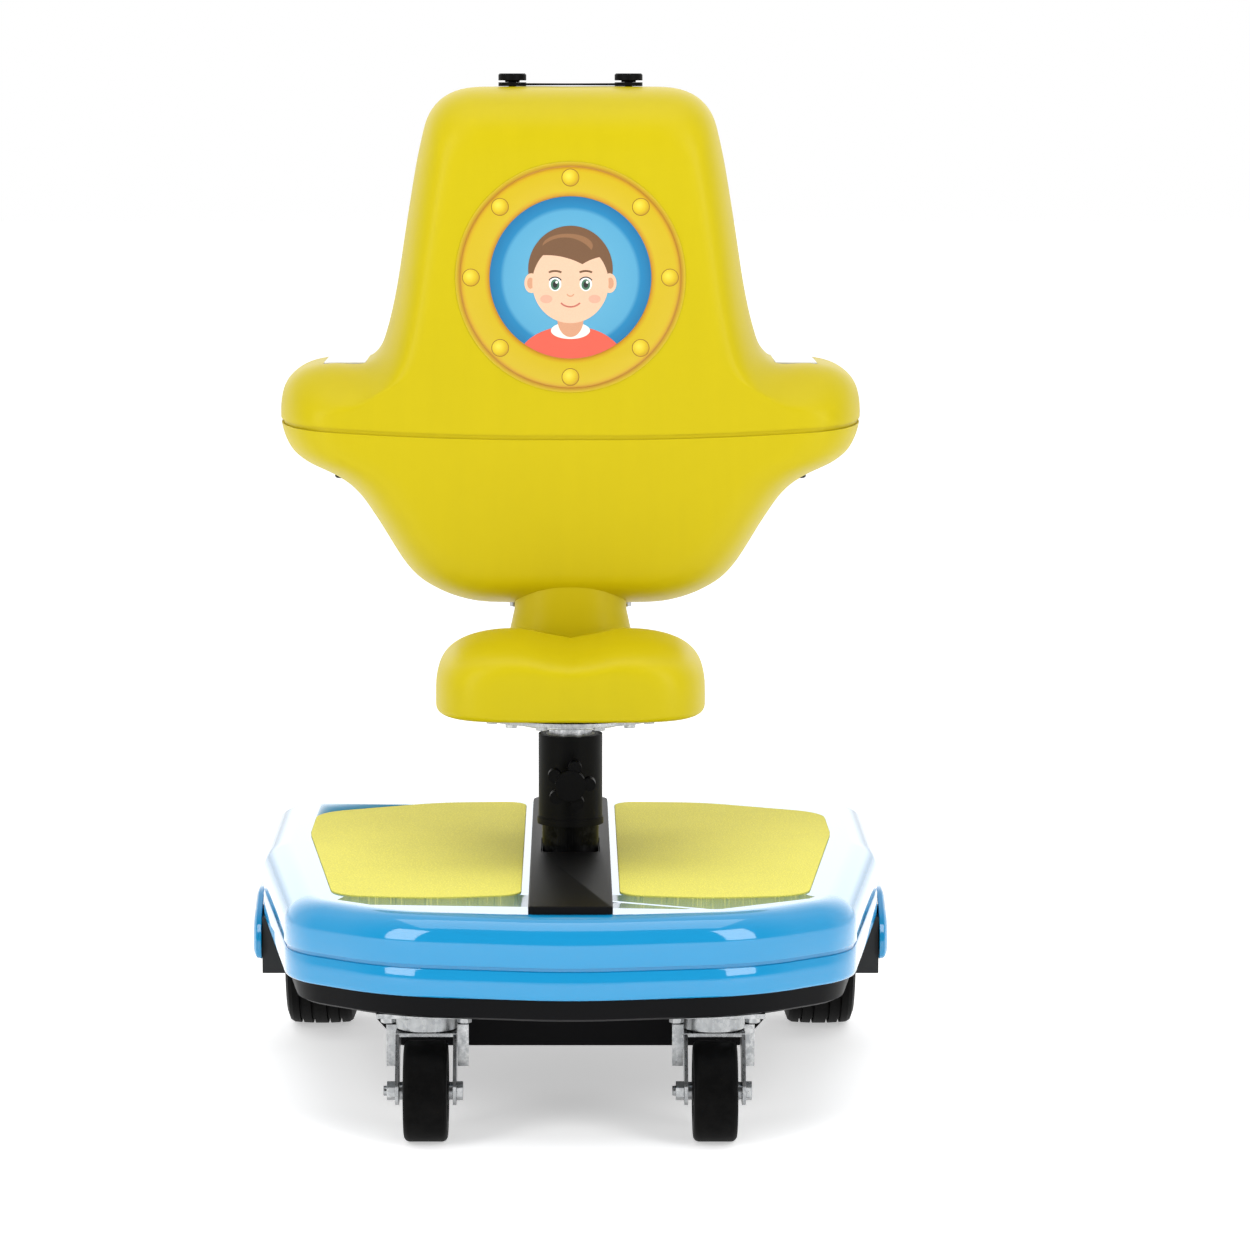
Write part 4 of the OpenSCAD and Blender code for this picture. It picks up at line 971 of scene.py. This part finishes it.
class RIDESEAT_OT_picture(bpy.types.Operator):
    """Make the plain child's face that looks out of the porthole."""

    bl_idname = "rideseat.picture"
    bl_label = "Porthole picture"

    def execute(self, context):
        low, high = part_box("porthole_panel")
        self.centre = Vector((0, high.y, (low.z + high.z) / 2))
        self.paint = {name: printed(name, shade) for name, shade in PAINTS.items()}
        self.bust()
        self.head()
        for side in SIDES.values():
            self.eye(side)
        self.features()
        return {"FINISHED"}

    def oval(self, name, paint, x, z, half_w, half_h, lift, trims=()):
        """A thin oval layer. Each of trims is (x, z, radius, operation) of a disc that cuts it."""
        bm = bmesh.new()
        bmesh.ops.create_cone(bm, segments=96, radius1=1.0, radius2=1.0, depth=0.3 * MM, cap_ends=True)
        shape = Matrix.Rotation(math.radians(90), 4, "X") @ Matrix.Diagonal((half_w * MM, half_h * MM, 1, 1))
        place = Matrix.Translation(self.centre + Vector((x * MM, (0.15 - lift) * MM, z * MM)))
        bmesh.ops.transform(bm, matrix=place @ shape, verts=bm.verts)
        bmesh.ops.recalc_face_normals(bm, faces=bm.faces)
        piece = finish_piece(bm, "picture_" + name, SEAT, "picture_vinyl", self.paint[paint])
        reach = Vector((0, 5, 0)) * MM
        for trim_x, trim_z, radius, operation in trims:
            middle = self.centre + Vector((trim_x, 0, trim_z)) * MM
            cut(piece, round_bar(radius * MM, middle - reach, middle + reach, segments=160), operation)

    def arc(self, name, paint, x, z, radius, start, stop, thick, lift):
        """A rounded stroke along part of a circle, with angles in degrees from the right, anticlockwise."""
        bm = bmesh.new()
        middle = self.centre + Vector((x * MM, -lift * MM, z * MM))
        a0, sweep = math.radians(start), math.radians(stop - start)
        made = bmesh.ops.create_circle(bm, segments=12, radius=1.0)["verts"]
        flat = Matrix.Diagonal((thick * MM / 2, 0.18 * MM, 1, 1))
        turn = Matrix.Rotation(-a0, 4, "Y") @ Matrix.Translation((radius * MM, 0, 0))
        bmesh.ops.transform(bm, matrix=Matrix.Translation(middle) @ turn @ flat, verts=made)
        bmesh.ops.spin(bm, geom=made + loop_edges(made), cent=middle, axis=(0, -1, 0), angle=sweep, steps=32)
        rims = [edge for edge in bm.edges if edge.is_boundary]
        bmesh.ops.holes_fill(bm, edges=rims, sides=0)
        bmesh.ops.recalc_face_normals(bm, faces=bm.faces)
        finish_piece(bm, "picture_" + name, SEAT, "picture_vinyl", self.paint[paint])

    def bust(self):
        pane = (0, 0, sizes().window_r / MM, "INTERSECT")
        self.oval("shirt", "shirt", 0, -92, 58, 40, 1.4, [pane])
        self.oval("collar", "collar", 0, -57, 21, 9, 1.44)
        self.oval("neck", "skin shade", 0, -45, 14, 19, 1.48)

    def head(self):
        self.oval("hair_back", "hair", 0, 9, 45.5, 46, 1.5)
        for side in SIDES.values():
            self.oval(f"ear_{side}", "skin", side * 42, -6, 7.5, 10.5, 1.54)
            self.oval(f"ear_fold_{side}", "skin shade", side * 43, -6, 3.6, 6, 1.57)
        self.oval("face", "skin", 0, -6, 41, 43, 1.6)
        brow_cuts = [(-26, -58, 82, "DIFFERENCE"), (42, -30, 53, "DIFFERENCE")]
        self.oval("fringe", "hair", 0, 12, 44, 43.5, 1.64, brow_cuts)
        self.oval("hair_light", "hair light", -3, 34, 27, 13, 1.67, [(-6, 6, 37, "DIFFERENCE")])

    def eye(self, side):
        x = side * 16.5
        self.oval(f"eye_white_{side}", "white", x, -7, 6.6, 7.6, 1.64)
        self.oval(f"iris_{side}", "iris", x, -7.6, 4.7, 5.8, 1.67)
        self.oval(f"pupil_{side}", "dark", x, -7.6, 2.6, 3.4, 1.7)
        self.oval(f"glint_{side}", "white", x + 1.6, -5, 1.3, 1.5, 1.73)
        self.arc(f"lid_{side}", "dark", x, -7.6, 8.0, 35, 145, 1.3, 1.66)
        self.arc(f"brow_{side}", "hair", x, -9, 16, 65, 115, 2.2, 1.66)

    def features(self):
        for side in SIDES.values():
            self.oval(f"cheek_{side}", "cheek", side * 26, -23, 6.5, 4.5, 1.63)
        self.arc("nose", "skin shade", 0, -16, 4.0, 205, 335, 1.5, 1.65)
        self.arc("smile", "lip", 0, -17, 14.5, 225, 315, 1.8, 1.65)


def printed(name, shade):
    """Flat print with a fine dot grain and a clear film over it."""
    material, tree, shader = new_material("Print " + name, Coat_Weight=0.25, Coat_Roughness=0.2)
    dots = noise(tree, object_coords(tree), 1500.0, 2.0)
    value = spread(tree, dots, 0.3, 0.7, 0.95, 1.05)
    tinted = node(tree, "HueSaturation", {"Value": value, "Color": (*shade, 1)}).outputs[0]
    tree.links.new(tinted, shader.inputs["Base Color"])
    tree.links.new(spread(tree, dots, 0.3, 0.7, 0.32, 0.42), shader.inputs["Roughness"])
    return material


# ---------- carried-over pieces ----------

SOFT_PAIRS = {
    "wing_plate": 0.4, "fender": 0.8, "wheel_liner": 2.5, "foot_pad": 0.5, "castor_hub": 0.6,
    "castor_fork": 0.5, "castor_plate": 0.6, "castor_axle": 0.5, "tray": 1.0, "clamp_knob_top": 0.6,
    "clamp_knob_wing": 0.6,
}
SOFT_NODES = {
    "skirt_pan": 2.0, "underbody_box": 1.5, "center_rail": 0.4, "column_sleeve": 0.6, "star_knob": 1.6,
    "top_clamp_plate": 0.4, "support_arm": 0.8, "column_flange": 0.5, "turntable_upper": 0.5,
    "turntable_bolts": 0.4, "turntable_lower": 0.5, "axle_beam": 0.8, "flange_screws": 0.4, "wheel_nuts": 0.6,
    "castor_bolts": 0.5, "tub_bolts": 0.5,
    **{f"{name}_{side}": width for name, width in SOFT_PAIRS.items() for side in SIDES},
}


class RIDESEAT_OT_hardware(bpy.types.Operator):
    """Round the edges of the small parts and give each CAD part whose slot has a shared finish that finish.
    Rounds are in millimetres.
    """

    bl_idname = "rideseat.hardware"
    bl_label = "Hardware and covers"

    def execute(self, context):
        slots = {row["node"]: row["material_slot"] for row in frame["record"]["subparts"]}
        bodies = frame["record"]["behaviour"]["bodies"]
        home = {name: body for body, names in bodies.items() for name in names}
        for name, width in SOFT_NODES.items():
            finish_piece(node_copy(name), name + "_finished", home[name], slots[name], replaces=[name],
                         angle=30, bevel=width * MM)
        for name, obj in frame["nodes"].items():
            slot = slots[name]
            if slot in MATERIALS:
                obj.data.materials.clear()
                obj.data.materials.append(MATERIALS[slot])
        return {"FINISHED"}


# ---------- studio ----------


class RIDESEAT_OT_studio(bpy.types.Operator):
    """Make the camera, the pale floor and the soft lights."""

    bl_idname = "rideseat.studio"
    bl_label = "Studio"

    def execute(self, context):
        stage = context.scene.ride_seat_stage
        lens = bpy.data.cameras.new("camera")
        lens.lens = stage.lens
        lens.shift_x = stage.shift
        lens.clip_end = 60
        camera = bpy.data.objects.new("camera", lens)
        camera.location = (0, -stage.camera_back, stage.camera_z)
        camera.rotation_euler = (math.radians(90) - stage.pitch, 0, 0)
        context.scene.collection.objects.link(camera)
        context.scene.camera = camera
        context.scene.view_settings.view_transform = "Standard"
        self.floor()
        self.lights()
        return {"FINISHED"}

    def floor(self):
        bm = bmesh.new()
        bmesh.ops.create_grid(bm, x_segments=1, y_segments=1, size=30)
        mesh = bpy.data.meshes.new("floor")
        bm.to_mesh(mesh)
        bm.free()
        floor = bpy.data.objects.new("floor", mesh)
        bpy.context.scene.collection.objects.link(floor)
        pale = new_material("Studio floor", Base_Color=(0.9, 0.9, 0.9, 1), Roughness=0.9,
                            Specular_IOR_Level=0.1, Emission_Color=(1, 1, 1, 1), Emission_Strength=0.45)[0]
        mesh.materials.append(pale)

    def lights(self):
        world = bpy.data.worlds.new("studio")
        world.use_nodes = True
        tree = world.node_tree
        way = node(tree, "SeparateXYZ", {0: node(tree, "TexCoord").outputs["Generated"]}).outputs
        around = spread(tree, way["Y"], -0.6, 0.3, 0.14, 1.0)
        above_floor = spread(tree, way["Z"], 0.03, 0.12)
        behind = maths(tree, "MULTIPLY", spread(tree, way["Y"], 0.5, 0.9), above_floor)
        tree.nodes["Background"].inputs["Color"].default_value = (1, 1, 1, 1)
        glow = maths(tree, "ADD", around, maths(tree, "MULTIPLY", behind, 0.7))
        tree.links.new(glow, tree.nodes["Background"].inputs["Strength"])
        bpy.context.scene.world = world
        softboxes = (
            ("softbox_left", (-2.5, -2.9, 1.9), 1.3, 3.2, 66),
            ("softbox_right", (2.5, -2.9, 1.9), 1.3, 3.2, 66),
            ("softbox_top", (0, -0.6, 3.4), 3.0, 2.4, 40),
        )
        for name, place, width, height, power in softboxes:
            light = bpy.data.lights.new(name, "AREA")
            light.shape = "RECTANGLE"
            light.size, light.size_y, light.energy = width, height, power
            lamp = bpy.data.objects.new(name, light)
            lamp.location = place
            lamp.rotation_euler = (Vector((0, 0, 0.35)) - Vector(place)).to_track_quat("-Z", "Y").to_euler()
            bpy.context.scene.collection.objects.link(lamp)


# ---------- add-on ----------


class RIDESEAT_PT_panel(bpy.types.Panel):
    bl_label = "Ride Seat"
    bl_idname = "RIDESEAT_PT_panel"
    bl_space_type = "VIEW_3D"
    bl_region_type = "UI"
    bl_category = "Ride Seat"

    def draw(self, context):
        scene = context.scene
        for group in (scene.ride_seat_sizes, scene.ride_seat_colours, scene.ride_seat_stage):
            box = self.layout.box()
            for name in group.__annotations__:
                box.prop(group, name)
        for operator in OPERATORS:
            self.layout.operator(operator.bl_idname)


OPERATORS = (RIDESEAT_OT_materials, RIDESEAT_OT_base, RIDESEAT_OT_saddle, RIDESEAT_OT_console,
             RIDESEAT_OT_porthole, RIDESEAT_OT_picture, RIDESEAT_OT_hardware, RIDESEAT_OT_studio)
CLASSES = (RideSeatSizes, RideSeatColours, RideSeatStage, *OPERATORS, RIDESEAT_PT_panel)


def register():
    for made in CLASSES:
        bpy.utils.register_class(made)
    bpy.types.Scene.ride_seat_sizes = bpy.props.PointerProperty(type=RideSeatSizes)
    bpy.types.Scene.ride_seat_colours = bpy.props.PointerProperty(type=RideSeatColours)
    bpy.types.Scene.ride_seat_stage = bpy.props.PointerProperty(type=RideSeatStage)


def unregister():
    del bpy.types.Scene.ride_seat_stage
    del bpy.types.Scene.ride_seat_colours
    del bpy.types.Scene.ride_seat_sizes
    for made in reversed(CLASSES):
        bpy.utils.unregister_class(made)


def main():
    register()
    bpy.ops.rideseat.materials()
    bpy.ops.rideseat.studio()
    bpy.ops.rideseat.base()
    bpy.ops.rideseat.saddle()
    bpy.ops.rideseat.console()
    bpy.ops.rideseat.porthole()
    bpy.ops.rideseat.picture()
    bpy.ops.rideseat.hardware()


if __name__ == "__main__":
    main()
